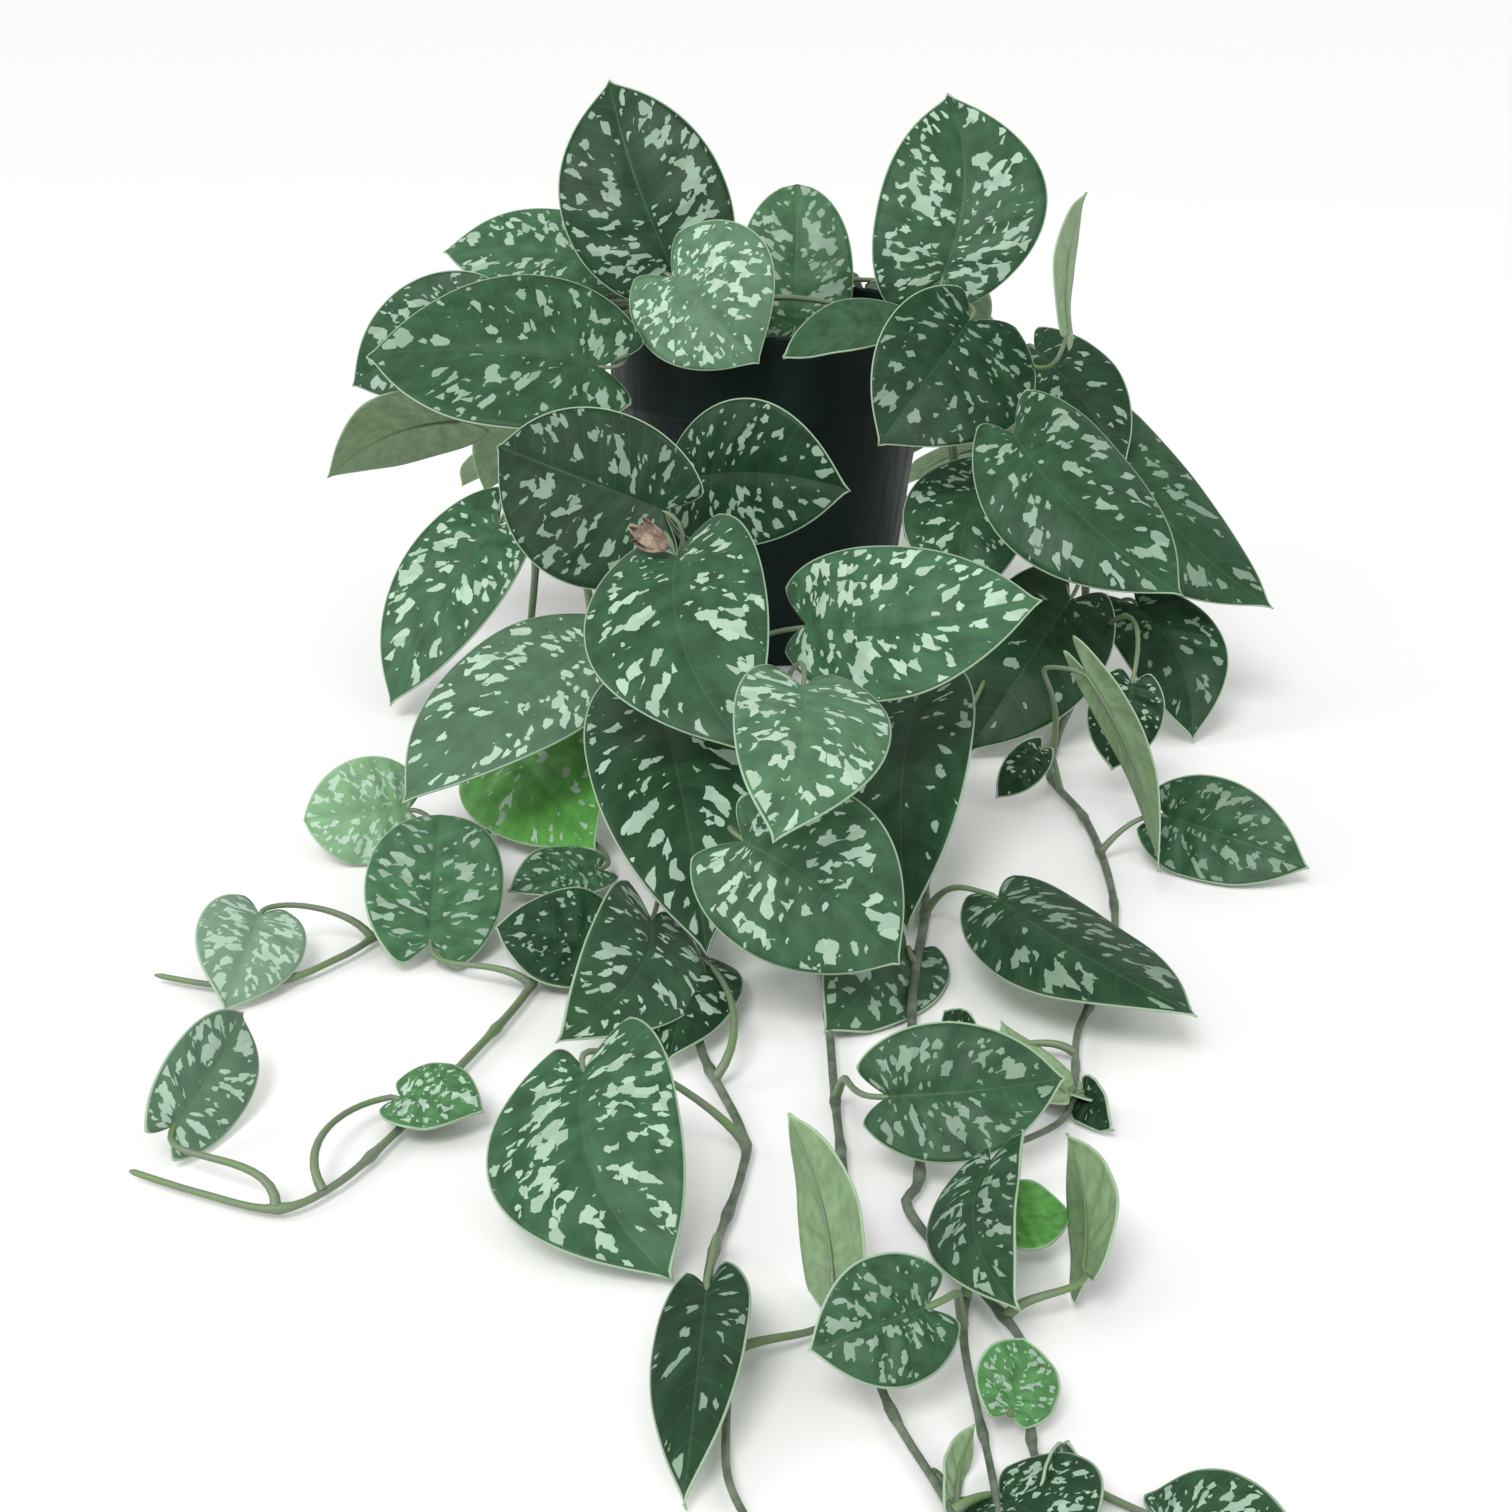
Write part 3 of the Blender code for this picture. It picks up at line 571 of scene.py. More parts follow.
def makeUpper():
    look = upperLook
    material, tree, shader = newMaterial("satinLeafUpper", look["roughness"])
    place, edge, tone, silver = leafPlace(tree)
    parts = addNode(tree, "ShaderNodeSeparateXYZ", {0: place})
    ribDistance = maths(tree, "ABSOLUTE", parts.outputs[0])
    wander = noiseAt(tree, place, 0.55, 3.0, rough=0.65)
    shift = vectorMaths(tree, "SUBTRACT", wander.outputs["Color"], (0.5, 0.5, 0.5))
    shift = vectorMaths(tree, "MULTIPLY", shift, look["wander"])
    warped = vectorMaths(tree, "ADD", place, shift)
    bigPick = cellColours(tree, warped, look["patch"])
    smallPick = cellColours(tree, warped, look["fleck"])
    cluster = noiseAt(tree, place, 0.11, 1.0).outputs["Fac"]
    # patches are thickest halfway from the rib to the edge, and few along either
    halfWidth = maths(tree, "ADD", maths(tree, "ADD", ribDistance, edge), 0.5)
    across = maths(tree, "DIVIDE", ribDistance, halfWidth)
    share = maths(tree, "MULTIPLY", silver, ranged(tree, cluster, 0.36, 0.60, 0.25, 0.88))
    share = maths(tree, "MULTIPLY", share, ranged(tree, across, 0.06, 0.36, 0.12, 1.15))
    share = maths(tree, "MULTIPLY", share, ranged(tree, across, 1.00, 0.65, 0.25, 1.0))
    patch = maths(tree, "LESS_THAN", bigPick.outputs[0], share)
    inside = maths(tree, "MULTIPLY", ranged(tree, ribDistance, 1.2, 1.8), ranged(tree, edge, 0.9, 1.3))
    patch = maths(tree, "MULTIPLY", patch, inside)
    fleckShare = maths(tree, "MULTIPLY", silver, look["fleckShare"])
    fleck = maths(tree, "LESS_THAN", smallPick.outputs[1], fleckShare)
    inside = maths(tree, "MULTIPLY", ranged(tree, ribDistance, 1.0, 1.6), ranged(tree, edge, 0.5, 0.9))
    fleck = maths(tree, "MULTIPLY", fleck, inside)
    mask = maths(tree, "MAXIMUM", patch, fleck)
    # The green follows the leaf's tone: young or old green, and also painted light and shade set per leaf
    green = blended(tree, ranged(tree, tone, 0.0, 0.6, kind="LINEAR"), look["deep"], look["middle"])
    green = blended(tree, ranged(tree, tone, 0.6, 1.0, kind="LINEAR"), green, look["bright"])
    mottle = noiseAt(tree, place, 0.16, 4.0).outputs["Fac"]
    shade = ranged(tree, mottle, 0.3, 0.7, 0.72, 1.35, kind="LINEAR")
    green = vectorMaths(tree, "MULTIPLY", green, shade)
    # side veins: a fine line each, and a soft rise between two
    turn = maths(tree, "MULTIPLY", parts.outputs[1], 2 * math.pi / look["veinSpacing"])
    wave = maths(tree, "COSINE", turn)
    veinLine = ranged(tree, wave, 0.90, 1.0)
    green = blended(tree, maths(tree, "MULTIPLY", veinLine, look["veinShow"]), green, look["rib"])
    rib = ranged(tree, ribDistance, 0.45, 0.15)
    green = blended(tree, maths(tree, "MULTIPLY", rib, look["ribShow"]), green, look["rib"])
    shineValue = addNode(tree, "ShaderNodeAttribute", attribute_name="shine").outputs["Fac"]
    # Silver runs from dim to bright with the leaf's shine, partly painted light set per leaf, with random
    # steps per patch
    shine = maths(tree, "MULTIPLY", shineValue, ranged(tree, bigPick.outputs[1], 0.0, 1.0, 0.75, 1.05))
    silverTone = blended(tree, maths(tree, "MINIMUM", shine, 1.0), look["dimSilver"], look["silver"])
    colour = blended(tree, mask, green, silverTone)
    # Past a shine of 1 the whole blade is blended toward silver as a painted sheen
    colour = blended(tree, maths(tree, "SUBTRACT", shineValue, 1.0, clamp=True), colour, look["silver"])
    line = ranged(tree, edge, 0.60, 0.25)
    colour = blended(tree, maths(tree, "MULTIPLY", line, look["marginShow"]), colour, look["margin"])
    tree.links.new(colour, shader.inputs["Base Color"])
    roughness = ranged(tree, mask, 0, 1, look["roughness"], look["silverRoughness"])
    tree.links.new(roughness, shader.inputs["Roughness"])
    skin = noiseAt(tree, place, 2.2, 3.0).outputs["Fac"]
    height = maths(tree, "MULTIPLY_ADD", wave, -0.10, maths(tree, "MULTIPLY", skin, 0.35))
    height = maths(tree, "MULTIPLY_ADD", mask, 0.16, height)
    bumped(tree, shader, height, look["relief"], 0.0004)
    shader.inputs["Specular IOR Level"].default_value = look["specular"]
    return material


# The leaf's underside: pale, dull, with the rib and side veins showing
underLook = {
    "pale": (0.190, 0.300, 0.155),
    "vein": (0.270, 0.370, 0.215),
    "dark": (0.140, 0.225, 0.108),
    "veinShow": 0.12,
    "roughness": 0.55,
    "relief": 0.3,
}


def makeUnder():
    look = underLook
    material, tree, shader = newMaterial("satinLeafUnder", look["roughness"])
    place, edge = leafPlace(tree)[:2]
    parts = addNode(tree, "ShaderNodeSeparateXYZ", {0: place})
    mottle = noiseAt(tree, place, 0.25, 4.0).outputs["Fac"]
    colour = blended(tree, ranged(tree, mottle, 0.3, 0.7), look["dark"], look["pale"])
    turn = maths(tree, "MULTIPLY", parts.outputs[1], 2 * math.pi / upperLook["veinSpacing"])
    wave = maths(tree, "COSINE", turn)
    veinLine = maths(tree, "MULTIPLY", ranged(tree, wave, 0.86, 1.0), look["veinShow"])
    colour = blended(tree, veinLine, colour, look["vein"])
    colour = blended(tree, ranged(tree, edge, 0.5, 0.15), colour, look["vein"])
    tree.links.new(colour, shader.inputs["Base Color"])
    skin = noiseAt(tree, place, 2.0, 3.0).outputs["Fac"]
    height = maths(tree, "MULTIPLY_ADD", wave, 0.25, maths(tree, "MULTIPLY", skin, 0.35))
    bumped(tree, shader, height, look["relief"], 0.0004)
    return material


# Stems and stalks: grey-green when old, fresh green when young
stemLook = {
    "old": (0.045, 0.072, 0.040),
    "pale": (0.125, 0.160, 0.110),
    "young": (0.110, 0.190, 0.065),
    "oldRoughness": 0.55,
    "youngRoughness": 0.45,
}


def makeStemSkin(name, first, second, roughness):
    material, tree, shader = newMaterial(name, roughness)
    place = addNode(tree, "ShaderNodeTexCoord").outputs["Object"]
    patches = noiseAt(tree, place, 140.0, 5.0, rough=0.6)
    colour = blended(tree, ranged(tree, patches.outputs["Fac"], 0.35, 0.65), first, second)
    specks = addNode(tree, "ShaderNodeTexVoronoi", {"Vector": place, "Scale": 900.0}).outputs["Distance"]
    colour = blended(tree, ranged(tree, specks, 0.28, 0.12, 0.0, 0.5), colour, stemLook["pale"])
    tree.links.new(colour, shader.inputs["Base Color"])
    grain = noiseAt(tree, place, 1500.0, 3.0).outputs["Fac"]
    bumped(tree, shader, grain, 0.35, 0.0003)
    return material


# The pot: black plastic, scuffed a little, with fine vertical drawing marks
potLook = {
    "colour": (0.004, 0.012, 0.009),
    "dust": (0.020, 0.028, 0.024),
    "dustShow": 0.35,
    "roughness": (0.36, 0.54),
    "specular": 0.12,
    "relief": 0.12,
}


def makePlastic():
    look = potLook
    material, tree, shader = newMaterial("blackPlastic")
    place = addNode(tree, "ShaderNodeTexCoord").outputs["Object"]
    streaks = addNode(tree, "ShaderNodeMapping", {"Vector": place, "Scale": (300, 300, 14)}).outputs[0]
    streaks = noiseAt(tree, streaks, 1.0, 4.0).outputs["Fac"]
    dust = noiseAt(tree, place, 45.0, 6.0, rough=0.7).outputs["Fac"]
    amount = maths(tree, "MULTIPLY", ranged(tree, dust, 0.5, 0.75), look["dustShow"])
    tree.links.new(blended(tree, amount, look["colour"], look["dust"]), shader.inputs["Base Color"])
    tree.links.new(ranged(tree, streaks, 0.3, 0.7, *look["roughness"]), shader.inputs["Roughness"])
    grain = noiseAt(tree, place, 1800.0, 2.0).outputs["Fac"]
    height = maths(tree, "MULTIPLY_ADD", streaks, 0.6, maths(tree, "MULTIPLY", grain, 0.4))
    bumped(tree, shader, height, look["relief"], 0.0004)
    shader.inputs["Specular IOR Level"].default_value = look["specular"]
    return material


# Soil, bark, white grains and dry skin are one crumbly material in different colours
crumbLook = {
    "pottingSoil": ((0.010, 0.006, 0.004), (0.050, 0.032, 0.020), 320.0),
    "barkChips": ((0.045, 0.024, 0.012), (0.130, 0.078, 0.042), 420.0),
    "drySkin": ((0.100, 0.066, 0.045), (0.330, 0.255, 0.190), 300.0),
    "perlite": ((0.42, 0.40, 0.36), (0.70, 0.68, 0.64), 600.0),
}


def makeCrumb(name):
    dark, light, scale = crumbLook[name]
    material, tree, shader = newMaterial(name, 0.92)
    place = addNode(tree, "ShaderNodeTexCoord").outputs["Object"]
    clumps = noiseAt(tree, place, scale, 8.0, rough=0.7).outputs["Fac"]
    colour = blended(tree, ranged(tree, clumps, 0.35, 0.7), dark, light)
    tree.links.new(colour, shader.inputs["Base Color"])
    bumped(tree, shader, clumps, 0.7, 0.001)
    return material


leafUpper = makeUpper()
leafUnder = makeUnder()
oldStem = makeStemSkin("oldStem", stemLook["old"], stemLook["pale"], stemLook["oldRoughness"])
youngStem = makeStemSkin("youngStem", stemLook["young"], stemLook["pale"], stemLook["youngRoughness"])
plastic = makePlastic()
earth = makeCrumb("pottingSoil")
bark = makeCrumb("barkChips")
drySkin = makeCrumb("drySkin")
perlite = makeCrumb("perlite")
print("materials made")


# Helpers for modelling
def clearSelection():
    if bpy.context.object and bpy.context.object.mode != "OBJECT":
        bpy.ops.object.mode_set(mode="OBJECT")
    bpy.ops.object.select_all(action="DESELECT")


def pick(*pieces):
    clearSelection()
    for piece in pieces:
        piece.select_set(True)
    bpy.context.view_layer.objects.active = pieces[0]


def joined(name, *pieces):
    pick(*pieces)
    bpy.ops.object.join()
    pieces[0].name = name
    pieces[0].data.name = name
    return pieces[0]


def settle(piece, *nodes, slot):
    pick(piece)
    bpy.ops.object.transform_apply(location=True, rotation=True, scale=True)
    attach(piece, "root")
    if nodes:
        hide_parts(*nodes)


def rod(name, points, halves, sides, material):  # a round rod through points, with a half thickness at each
    clearSelection()
    curve = bpy.data.curves.new(name, "CURVE")
    curve.dimensions = "3D"
    curve.bevel_depth = 0.001
    curve.bevel_resolution = sides
    curve.use_fill_caps = True
    spline = curve.splines.new("POLY")
    spline.points.add(len(points) - 1)
    for dot, point, half in zip(spline.points, points, halves):
        dot.co = (*point, 1)
        dot.radius = half / 0.001
    piece = bpy.data.objects.new(name, curve)
    bpy.context.scene.collection.objects.link(piece)
    pick(piece)
    bpy.ops.object.convert(target="MESH")
    bpy.ops.object.shade_smooth_by_angle(angle=math.radians(60))
    piece.data.materials.clear()
    piece.data.materials.append(material)
    return piece


def onRoute(route, at):  # a smooth curve through the route's points
    last = len(route) - 1
    start = min(int(at), last - 1)
    t = at - start
    before = route[max(start - 1, 0)]
    here = route[start]
    there = route[start + 1]
    after = route[min(start + 2, last)]
    return 0.5 * (2 * here + (there - before) * t + (2 * before - 5 * here + 4 * there - after) * t * t
                  + (3 * here - before - 3 * there + after) * t * t * t)


# Stems swell a little at each joint, where a leaf grows or grew
stemShape = {
    "step": 0.0030,
    "joint": 0.00045,
    "jointLength": 0.0024,
    "firstJoint": 0.012,
    "between": 0.034,
    "nearest": 0.014,
    "waver": 0.05,
    "clearance": 0.0006,
    "sides": 3,
}


def stemHalf(stem, at):
    first, last = stem["radius"]
    return first + (last - first) * at / (len(stem["route"]) - 1)


def makeStem(stem, number):
    shape = stemShape
    route = stem["route"]
    span = len(route) - 1
    points = []
    ats = []
    at = 0.0
    while at < span:
        here = onRoute(route, at)
        ats.append(at)
        points.append(here)
        speed = (onRoute(route, min(at + 0.02, span)) - here).length / 0.02
        at += shape["step"] / max(speed, 0.001)
    ats.append(span)
    points.append(onRoute(route, span))
    travelled = [0.0]
    for near, far in zip(points, points[1:]):
        travelled.append(travelled[-1] + (far - near).length)
    count = int(travelled[-1] / shape["between"])
    marks = [shape["firstJoint"] + shape["between"] * n for n in range(count)]
    for row in stem["leaves"]:
        nearest = min(range(len(ats)), key=lambda n: abs(ats[n] - row["at"]))
        marks = [mark for mark in marks if abs(mark - travelled[nearest]) > shape["nearest"]]
        marks.append(travelled[nearest])
    halves = []
    for at, point, distance in zip(ats, points, travelled):
        half = stemHalf(stem, at)
        swell = max(math.exp(-((distance - mark) / shape["jointLength"]) ** 2) for mark in marks)
        waver = shape["waver"] * noise.noise(Vector((distance * 90, number, 0)))
        half = half * (0.94 + waver) + shape["joint"] * swell
        halves.append(half)
        point.z = max(point.z, half + shape["clearance"])
    halves[-1] *= 0.5
    name = "stem" + stem["name"][0].upper() + stem["name"][1:]
    return rod(name, points, halves, shape["sides"], youngStem if stem.get("young") else oldStem)


# The leaf blade and its stalk
def bladeFrame(row):
    along = (row["tip"] - row["base"]).normalized()
    towards = row["faces"] or eye - (row["tip"] + row["base"]) / 2
    towards = (towards - along * towards.dot(along)).normalized()
    side = towards.cross(along)
    up = towards * math.cos(row["roll"]) + side * math.sin(row["roll"])
    return along, up.cross(along), up


def margin(u, half, lobe, blunt):
    shape = bladeShape
    if u < shape["shoulder"]:
        turn = shape["lobeStart"] + (math.pi / 2 - shape["lobeStart"]) * u / shape["shoulder"]
        return shape["widest"] - (shape["widest"] + lobe) * math.cos(turn), half * math.sin(turn)
    q = (u - shape["shoulder"]) / (1 - shape["shoulder"])
    wide = half * max(1 - q ** shape["fullness"], 0) ** (shape["tipPower"] - 0.4 * blunt)
    wide *= 1 - shape["drawnTip"] * (1 - blunt) * q ** shape["drawnPower"]
    return shape["widest"] + (1 - shape["widest"]) * q, wide


def flatPoint(row, u, v):  # the blade laid flat: along and across, as shares of its length
    length = (row["tip"] - row["base"]).length
    half = row["wide"] / length / 2 * (1 + math.copysign(row["lean"], v))
    edgeX, edgeY = margin(u, half, row["lobe"], row["blunt"])
    vein = u ** bladeShape["veinPower"]
    rounded = max(1 - u / bladeShape["roundLobe"], 0)
    reach = abs(v) ** bladeShape["veinCurve"] * (1 - rounded) + math.sin(math.pi / 2 * abs(v)) * rounded
    return vein + (edgeX - vein) * reach, edgeY * v, half


def bladePoint(row, axes, u, v, seed, detail=True):
    along, across, up = axes
    length = (row["tip"] - row["base"]).length
    x, y, half = flatPoint(row, u, v)
    bow = 4 * x * (1 - x)
    rise = row["arch"] * bow + row["fold"] * abs(y) - row["curl"] * y * y / half
    if detail:
        shape = bladeShape
        ribFade = 1 - u ** 3
        groove = math.exp(-(y * length / shape["grooveWidth"]) ** 2)
        rise -= shape["grooveDepth"] / length * groove * ribFade
        swell = math.sin(math.pi * abs(v)) * math.sin(math.pi * min(u * 1.1, 1))
        rise -= shape["ripple"] / length * math.cos(2 * math.pi * shape["veins"] * u) * swell
        wave = noise.noise(Vector((u * 3.2, math.copysign(1.7, v), seed * 3.1)))
        rise += shape["edgeWave"] / length * wave * v * v
    y += row["bend"] * bow
    return row["base"] + (along * x + across * y + up * rise) * length


def stalkPoints(row, stem, axes):
    route = stem["route"]
    span = len(route) - 1
    at = min(row["at"], span - 0.01)
    centre = onRoute(route, at)
    thick = stemHalf(stem, at)
    centre.z = max(centre.z, thick + stemShape["clearance"])
    ahead = (onRoute(route, min(at + 0.1, span - 0.001)) - onRoute(route, max(at - 0.1, 0))).normalized()
    away = row["base"] - centre
    away = (away - ahead * away.dot(ahead)).normalized()
    if centre.z < 0.01:
        away = (away + Vector((0, 0, 0.8))).normalized()
    start = centre + away * thick * 0.5
    along = axes[0]
    up = axes[2]
    base = row["base"]
    pull = (base - start).length * stalkShape["pull"]
    out = base - (along * (1 - row["hook"]) + up * row["hook"]).normalized() * pull
    leave = start + away * pull
    points = []
    for step in range(stalkShape["steps"]):
        t = step / stalkShape["steps"]
        s = 1 - t
        points.append(start * s ** 3 + leave * 3 * s * s * t + out * 3 * s * t * t + base * t ** 3)
    return points


# A stalk runs on under its blade as the middle rib
stalkShape = {
    "root": 0.00125,
    "middle": 0.00082,
    "blade": 0.00072,
    "ribEnd": 0.00018,
    "sides": 2,
    "steps": 15,
    "ribSteps": 14,
    "pull": 0.36,
    "clearance": 0.0007,
}


def makeLeaf(row, stem, name, seed):
    shape = bladeShape
    axes = bladeFrame(row)
    up = axes[2]
    length = (row["tip"] - row["base"]).length
    clearSelection()
    bpy.ops.mesh.primitive_grid_add(x_subdivisions=shape["columns"], y_subdivisions=shape["rows"], size=1)
    blade = bpy.context.object
    mesh = blade.data
    steps = 8
    pattern = (shape["patternLength"] / length) ** shape["patternPower"]
    places = []
    traits = []
    shines = [row["shine"]] * len(mesh.vertices)
    for vertex in mesh.vertices:
        u = min(max(vertex.co.y + 0.5, 0), 1)
        side = 2 * vertex.co.x
        v = math.copysign(abs(side) ** 1.25, side)
        u = u ** 0.9
        flat = [flatPoint(row, u, v * n / steps)[:2] for n in range(steps + 1)]
        run = [math.dist(a, b) for a, b in zip(flat, flat[1:])]
        fromRib = sum(run) * length * 1000
        edgeFlat = flatPoint(row, u, math.copysign(1, v))[:2]
        fromEdge = math.dist(flat[-1], edgeFlat) * length * 1000
        acrossVeins = u * length * 1000 * 1.15
        places.extend((math.copysign(fromRib, v) * pattern, acrossVeins * pattern, seed * 7.3))
        fromEnd = acrossVeins + 0.2 if abs(v) > 0.05 else 9
        traits.extend((min(fromEdge, fromEnd), row["tone"], row["silver"]))
        point = bladePoint(row, axes, u, v, seed)
        point.z = max(point.z, shape["lowest"])
        vertex.co = point
    place = mesh.attributes.new("veinPlace", "FLOAT_VECTOR", "POINT")
    place.data.foreach_set("vector", places)
    trait = mesh.attributes.new("leafTraits", "FLOAT_VECTOR", "POINT")
    trait.data.foreach_set("vector", traits)
    shine = mesh.attributes.new("shine", "FLOAT", "POINT")
    shine.data.foreach_set("value", shines)
    mesh.materials.append(leafUpper)
    mesh.materials.append(leafUnder)
    bpy.ops.object.mode_set(mode="EDIT")
    bpy.ops.mesh.select_all(action="SELECT")
    bpy.ops.mesh.remove_doubles(threshold=0.00002)
    bpy.ops.object.mode_set(mode="OBJECT")
    facing = sum((face.normal * face.area for face in mesh.polygons), Vector())
    if facing.dot(up) < 0:
        mesh.flip_normals()
    thick = blade.modifiers.new("thickness", "SOLIDIFY")
    thick.thickness = shape["thickness"]
    thick.offset = 0
    thick.material_offset = 1
    bpy.ops.object.modifier_apply(modifier=thick.name)
    bpy.ops.object.shade_smooth()
    points = stalkPoints(row, stem, axes)
    halves = []
    for step in range(len(points)):
        t = step / len(points)
        halves.append(stalkShape["middle"] + (stalkShape["root"] - stalkShape["middle"]) * (1 - t) ** 3
                      + (stalkShape["blade"] - stalkShape["middle"]) * t)
    for step in range(stalkShape["ribSteps"]):
        share = step / (stalkShape["ribSteps"] - 1)
        u = 0.02 + 0.9 * share
        half = stalkShape["blade"] + (stalkShape["ribEnd"] - stalkShape["blade"]) * share ** 0.7
        point = bladePoint(row, axes, math.sqrt(u), 0, seed) - up * (half * 0.85)
        points.append(point)
        halves.append(half)
    for number, half in enumerate(halves):
        points[number].z = max(points[number].z, half + stalkShape["clearance"])
    stalk = rod(name + "Stalk", points, halves, stalkShape["sides"], youngStem)
    return joined(name, blade, stalk)


def recordSlot(node):
    return next(part["material_slot"] for part in frame["record"]["subparts"] if part["node"] == node)


def toneSlot(tone):
    return "leaf_bright" if tone > 0.6 else "leaf_middle" if tone > 0.25 else "leaf_deep"


def nodeName(name):
    return "".join("_" + letter.lower() if letter.isupper() else letter for letter in name)


seed = 0
for number, stem in enumerate(stems):
    node = nodeName(stem["name"])
    settle(makeStem(stem, number), "vine_" + node, slot="stem")
    for leafNumber, row in enumerate(stem["leaves"], 1):
        seed += 1
        leafNode = f"leaf_{node}_{leafNumber}"
        name = "leaf" + stem["name"][0].upper() + stem["name"][1:] + str(leafNumber)
        settle(makeLeaf(row, stem, name, seed), leafNode, slot=recordSlot(leafNode))
    for smallNumber, row in enumerate(stem.get("small", []), 1):
        seed += 1
        name = "smallLeaf" + stem["name"][0].upper() + stem["name"][1:] + str(smallNumber)
        settle(makeLeaf(row, stem, name, seed), slot=toneSlot(row["tone"]))
    print("stem and leaves made:", stem["name"])


# A dry brown sheath, torn in three, on the stalk of the front leaf
sheathShape = {
    "foot": seen(666, 547, 0.2345),
    "strips": [
        (seen(628, 526, 0.228), 0.0026),
        (seen(631, 541, 0.231), 0.0022),
        (seen(645, 521, 0.226), 0.0021),
    ],
    "curl": 0.0018,
    "thickness": 0.00025,
}


def makeSheath():
    shape = sheathShape
    strips = []
    for number, (tip, half) in enumerate(shape["strips"]):
        clearSelection()
        bpy.ops.mesh.primitive_grid_add(x_subdivisions=6, y_subdivisions=14, size=1)
        strip = bpy.context.object
        along = tip - shape["foot"]
        across = along.cross(eye - tip).normalized()
        out = across.cross(along).normalized()
        for vertex in strip.data.vertices:
            t = vertex.co.y + 0.5
            side = 2 * vertex.co.x
            width = half * (math.sin(math.pi * min(t * 0.9 + 0.12, 1)) ** 0.7)
            crumple = noise.noise(Vector((t * 5, side * 2, number * 4.0)))
            lift = shape["curl"] * (side * side - 0.4 + math.sin(5 * t + number)) * t + 0.0012 * crumple
            vertex.co = shape["foot"] + along * t + across * (side * width) + out * lift
        bpy.ops.object.mode_set(mode="EDIT")
        bpy.ops.mesh.select_all(action="SELECT")
        bpy.ops.mesh.normals_make_consistent(inside=False)
        bpy.ops.object.mode_set(mode="OBJECT")
        thick = strip.modifiers.new("thickness", "SOLIDIFY")
        thick.thickness = shape["thickness"]
        bpy.ops.object.modifier_apply(modifier=thick.name)
        strip.data.materials.append(drySkin)
        bpy.ops.object.shade_smooth()
        strips.append(strip)
    return joined("drySheath", *strips)


settle(makeSheath(), slot="stem")


# The pot is turned from its profile, then its drain holes are cut
def turnedShell(name, profile, sides):  # a ring is extruded up and down its profile, as on a lathe
    clearSelection()
    radius, z = profile[0]
    bpy.ops.mesh.primitive_circle_add(vertices=sides, radius=radius, location=(0, 0, z), fill_type="NGON")
    piece = bpy.context.object
    bpy.ops.object.mode_set(mode="EDIT")
    bpy.ops.mesh.select_all(action="SELECT")
    for nextRadius, nextZ in profile[1:]:
        bpy.ops.mesh.extrude_region_move(TRANSFORM_OT_translate={"value": (0, 0, nextZ - z)})
        scale = nextRadius / radius
        bpy.ops.transform.resize(value=(scale, scale, 1), center_override=(0, 0, nextZ))
        radius, z = nextRadius, nextZ
    bpy.ops.mesh.select_all(action="SELECT")
    bpy.ops.mesh.normals_make_consistent(inside=False)
    bpy.ops.object.mode_set(mode="OBJECT")
    piece.name = name
    piece.data.name = name
    return piece


def makePot():
    shape = potShape
    bodyTop = shape["height"] - shape["bandHeight"]
    inner = shape["rimRadius"] - 0.0008 - shape["wall"]
    top = shape["height"]
    bandFoot = shape["bandBottomRadius"]
    slope = (shape["bodyTopRadius"] - shape["baseRadius"]) / bodyTop
    profile = [
        (0.030, 0.0012),
        (0.0395, 0.0012),
        (0.0402, 0.0),
        (shape["baseRadius"] - 0.0022, 0.0),
        (shape["baseRadius"] - 0.0008, 0.0006),
        (shape["baseRadius"], 0.0022),
        (shape["baseRadius"] + slope * 0.030, 0.030),
        (shape["baseRadius"] + slope * 0.060, 0.060),
        (shape["bodyTopRadius"], bodyTop - 0.0018),
        (shape["bodyTopRadius"] + 0.0003, bodyTop - 0.0010),
        (bandFoot - 0.0005, bodyTop - 0.0008),
        (bandFoot, bodyTop),
        (bandFoot, bodyTop + 0.0012),
        (bandFoot, top - 0.0062),
        (bandFoot + 0.0002, top - 0.0044),
        (shape["rimRadius"] - 0.0002, top - 0.0036),
        (shape["rimRadius"], top - 0.0026),
        (shape["rimRadius"], top - 0.0008),
        (shape["rimRadius"] - 0.0006, top),
        (inner + 0.0007, top),
        (inner, top - 0.0008),
        (inner, bodyTop + 0.0010),
        (shape["bodyTopRadius"] - shape["wall"], bodyTop - 0.003),
        (shape["baseRadius"] - shape["wall"], shape["floor"]),
        (0.020, shape["floor"]),
    ]
    pot = turnedShell("nurseryPot", profile, shape["sides"])
    for hole in range(shape["drainHoles"]):
        turn = 2 * math.pi * (hole + 0.5) / shape["drainHoles"]
        place = (shape["drainRing"] * math.cos(turn), shape["drainRing"] * math.sin(turn), 0.0012)
        clearSelection()
        bpy.ops.mesh.primitive_cylinder_add(vertices=24, radius=shape["drainRadius"],
                                            depth=shape["drillDepth"], location=place)
        drill = bpy.context.object
        cut = pot.modifiers.new("drain", "BOOLEAN")
        cut.operation = "DIFFERENCE"
        cut.solver = "EXACT"
        cut.object = drill
        pick(pot)
        bpy.ops.object.modifier_apply(modifier=cut.name)
        bpy.data.objects.remove(drill)
    pot.data.materials.clear()
    pot.data.materials.append(plastic)
    pick(pot)
    bpy.ops.object.shade_smooth_by_angle(angle=math.radians(32))
    return pot


settle(makePot(), "pot", slot="pot")
print("pot made")


# The soil has a lumpy top, with bark and white grains lying on it
soilShape = {
    "top": 0.1062,
    "sides": 72,
    "lump": 0.0016,
    "highest": 0.0007,
    "spread": 0.052,
    "chips": 110,
    "grains": 70,
    "seed": 4,
}


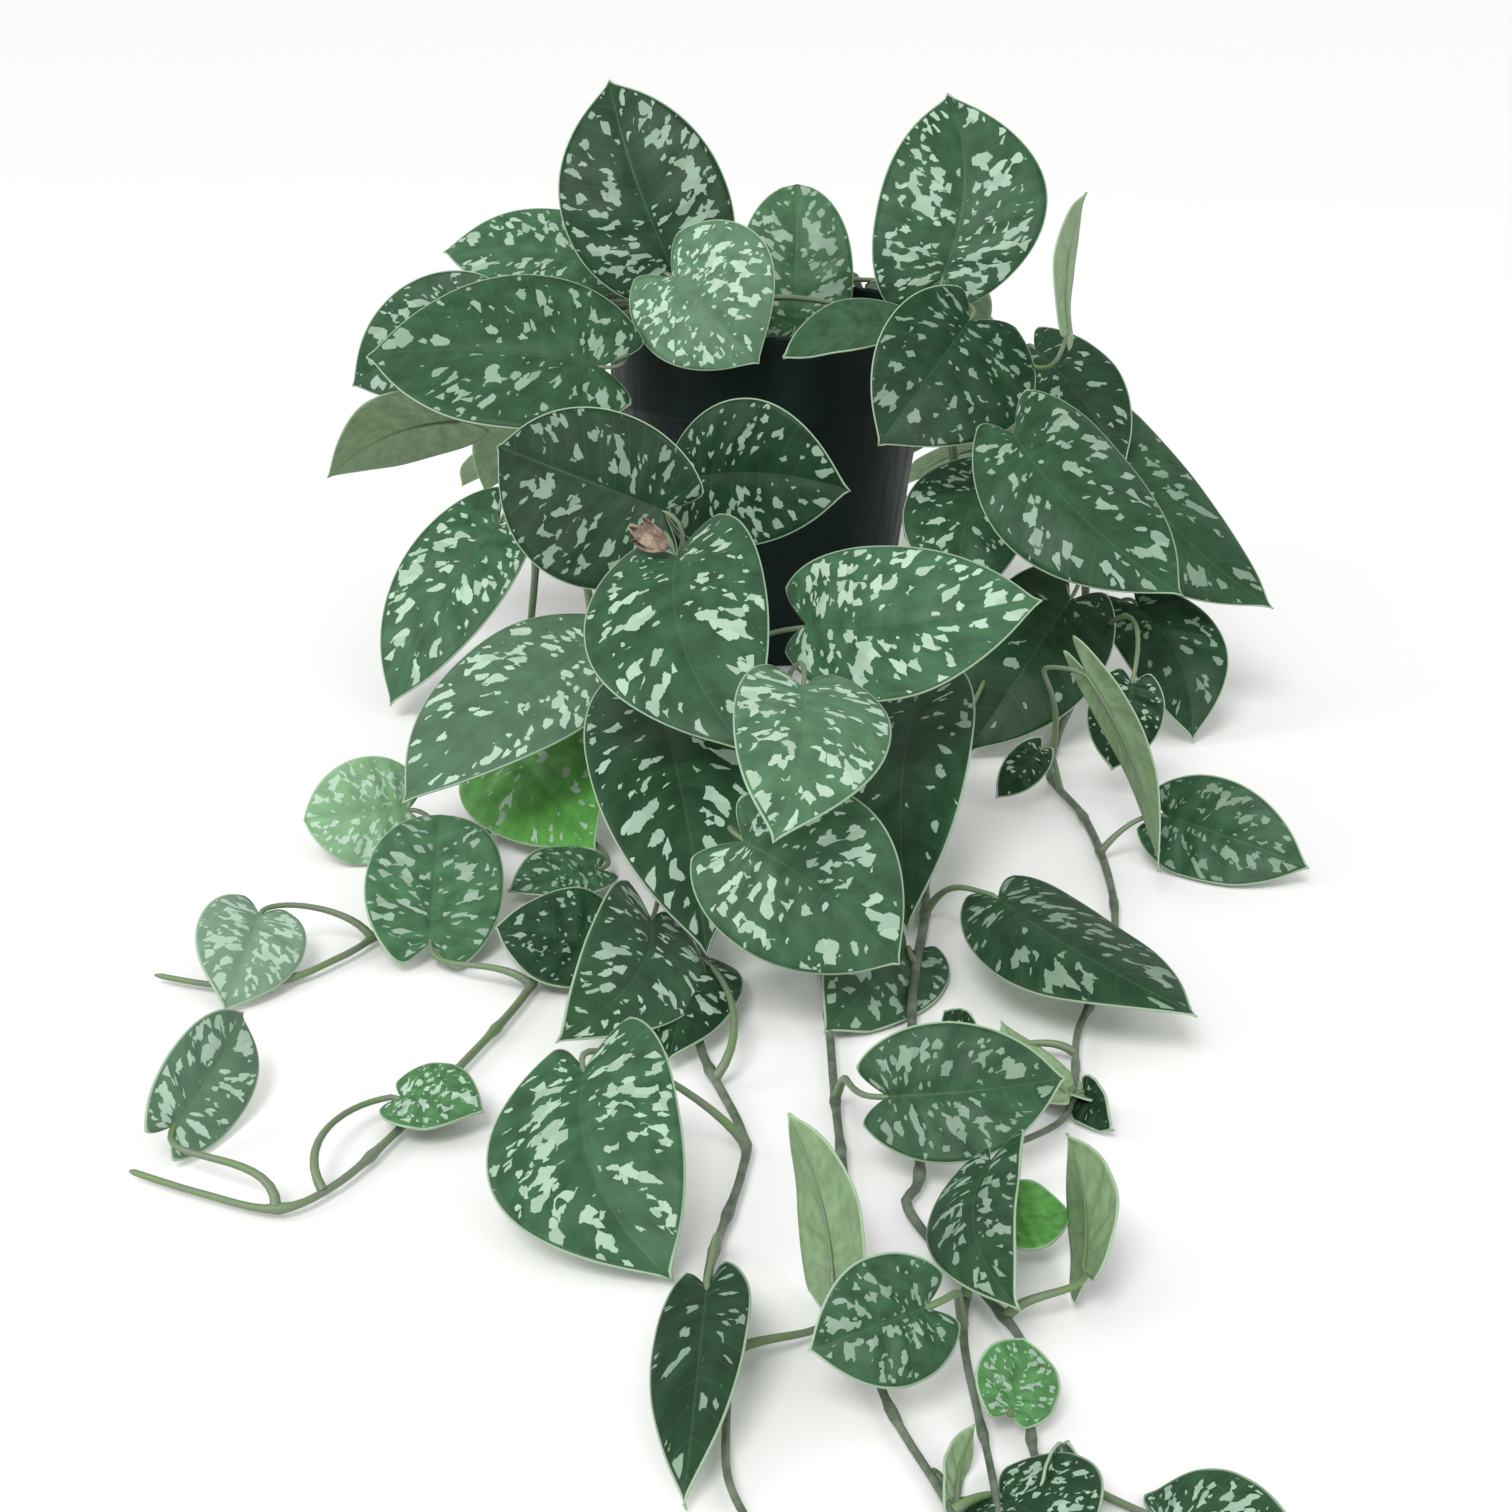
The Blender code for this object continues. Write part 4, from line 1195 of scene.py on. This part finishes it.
def makeSoil():
    shape = soilShape
    dice = random.Random(shape["seed"])
    profile = [
        (0.0415, 0.0030),
        (0.0480, 0.0450),
        (0.0548, 0.0900),
        (0.0562, 0.0960),
        (0.0566, 0.1040),
        (0.0560, 0.1056),
    ]
    profile += [(radius / 1000, shape["top"]) for radius in range(50, 0, -8)]
    soil = turnedShell("pottingSoil", profile, shape["sides"])
    for vertex in soil.data.vertices:
        if vertex.co.z > 0.1050:
            lump = noise.noise(vertex.co * 90) + 0.5 * noise.noise(vertex.co * 260)
            vertex.co.z += min(lump * shape["lump"], shape["highest"])
    soil.data.materials.append(earth)
    pieces = [soil]
    for number in range(shape["chips"] + shape["grains"]):
        chip = number < shape["chips"]
        turn = dice.uniform(0, 2 * math.pi)
        radius = shape["spread"] * math.sqrt(dice.random())
        size = dice.uniform(0.0008, 0.0022) if chip else dice.uniform(0.0006, 0.0013)
        clearSelection()
        bpy.ops.mesh.primitive_ico_sphere_add(subdivisions=1, radius=size)
        bit = bpy.context.object
        flat = 0.45 if chip else 0.85
        long = dice.uniform(1.2, 2.2) if chip else 1.0
        swing = dice.uniform(0, math.pi)
        for vertex in bit.data.vertices:
            rough = 1 + 0.25 * noise.noise(vertex.co * 900 + Vector((number, 0, 0)))
            x, y, z = vertex.co.x * long * rough, vertex.co.y * rough, vertex.co.z * flat * rough
            vertex.co = (radius * math.cos(turn) + x * math.cos(swing) - y * math.sin(swing),
                         radius * math.sin(turn) + x * math.sin(swing) + y * math.cos(swing),
                         shape["top"] + size * flat * 0.3 + z)
        bit.data.materials.append(bark if chip else perlite)
        pieces.append(bit)
    soil = joined("pottingSoil", *pieces)
    bpy.ops.object.shade_smooth_by_angle(angle=math.radians(40))
    return soil


settle(makeSoil(), "soil", slot="soil")
print("soil made")


# Floor, lights and camera
studio = {
    "floor": (0.78, 0.78, 0.77),
    "sky": (1.0, 1.0, 1.0),
    "skyStrength": 0.80,
    "sun": {
        "turn": (math.radians(38), math.radians(-16), 0),
        "strength": 1.9,
        "softness": math.radians(24),
    },
    "side": {"place": (-1.3, -0.5, 0.7), "size": 0.7, "power": 7},
    "front": {"place": (0.9, -1.5, 0.9), "size": 0.9, "power": 6},
    "aim": (0, -0.15, 0.05),
}
clearSelection()
bpy.ops.mesh.primitive_plane_add(size=60)
floor = bpy.context.object
floor.name = "paleFloor"
floorMaterial, floorTree, floorShader = newMaterial("paleFloor", 0.7)
floorShader.inputs["Base Color"].default_value = (*studio["floor"], 1)
floor.data.materials.append(floorMaterial)

world = bpy.data.worlds.new("studio")
bpy.context.scene.world = world
world.use_nodes = True
world.node_tree.nodes["Background"].inputs["Color"].default_value = (*studio["sky"], 1)
world.node_tree.nodes["Background"].inputs["Strength"].default_value = studio["skyStrength"]

bpy.ops.object.light_add(type="SUN", rotation=studio["sun"]["turn"])
sun = bpy.context.object
sun.name = "sunLight"
sun.data.energy = studio["sun"]["strength"]
sun.data.angle = studio["sun"]["softness"]
for lightName in ("side", "front"):
    facts = studio[lightName]
    bpy.ops.object.light_add(type="AREA", location=facts["place"])
    light = bpy.context.object
    light.name = lightName + "Light"
    light.data.size = facts["size"]
    light.data.energy = facts["power"]
    aim = Vector(studio["aim"]) - Vector(facts["place"])
    light.rotation_euler = aim.to_track_quat("-Z", "Y").to_euler()

bpy.ops.object.camera_add(location=eye, rotation=(math.pi / 2 - view["tilt"], 0, 0))
camera = bpy.context.object
camera.data.sensor_width = view["sensor"]
camera.data.lens = view["focal"] / view["image"] * view["sensor"]
bpy.context.scene.camera = camera
bpy.context.scene.view_settings.view_transform = "Standard"
print("studio set")
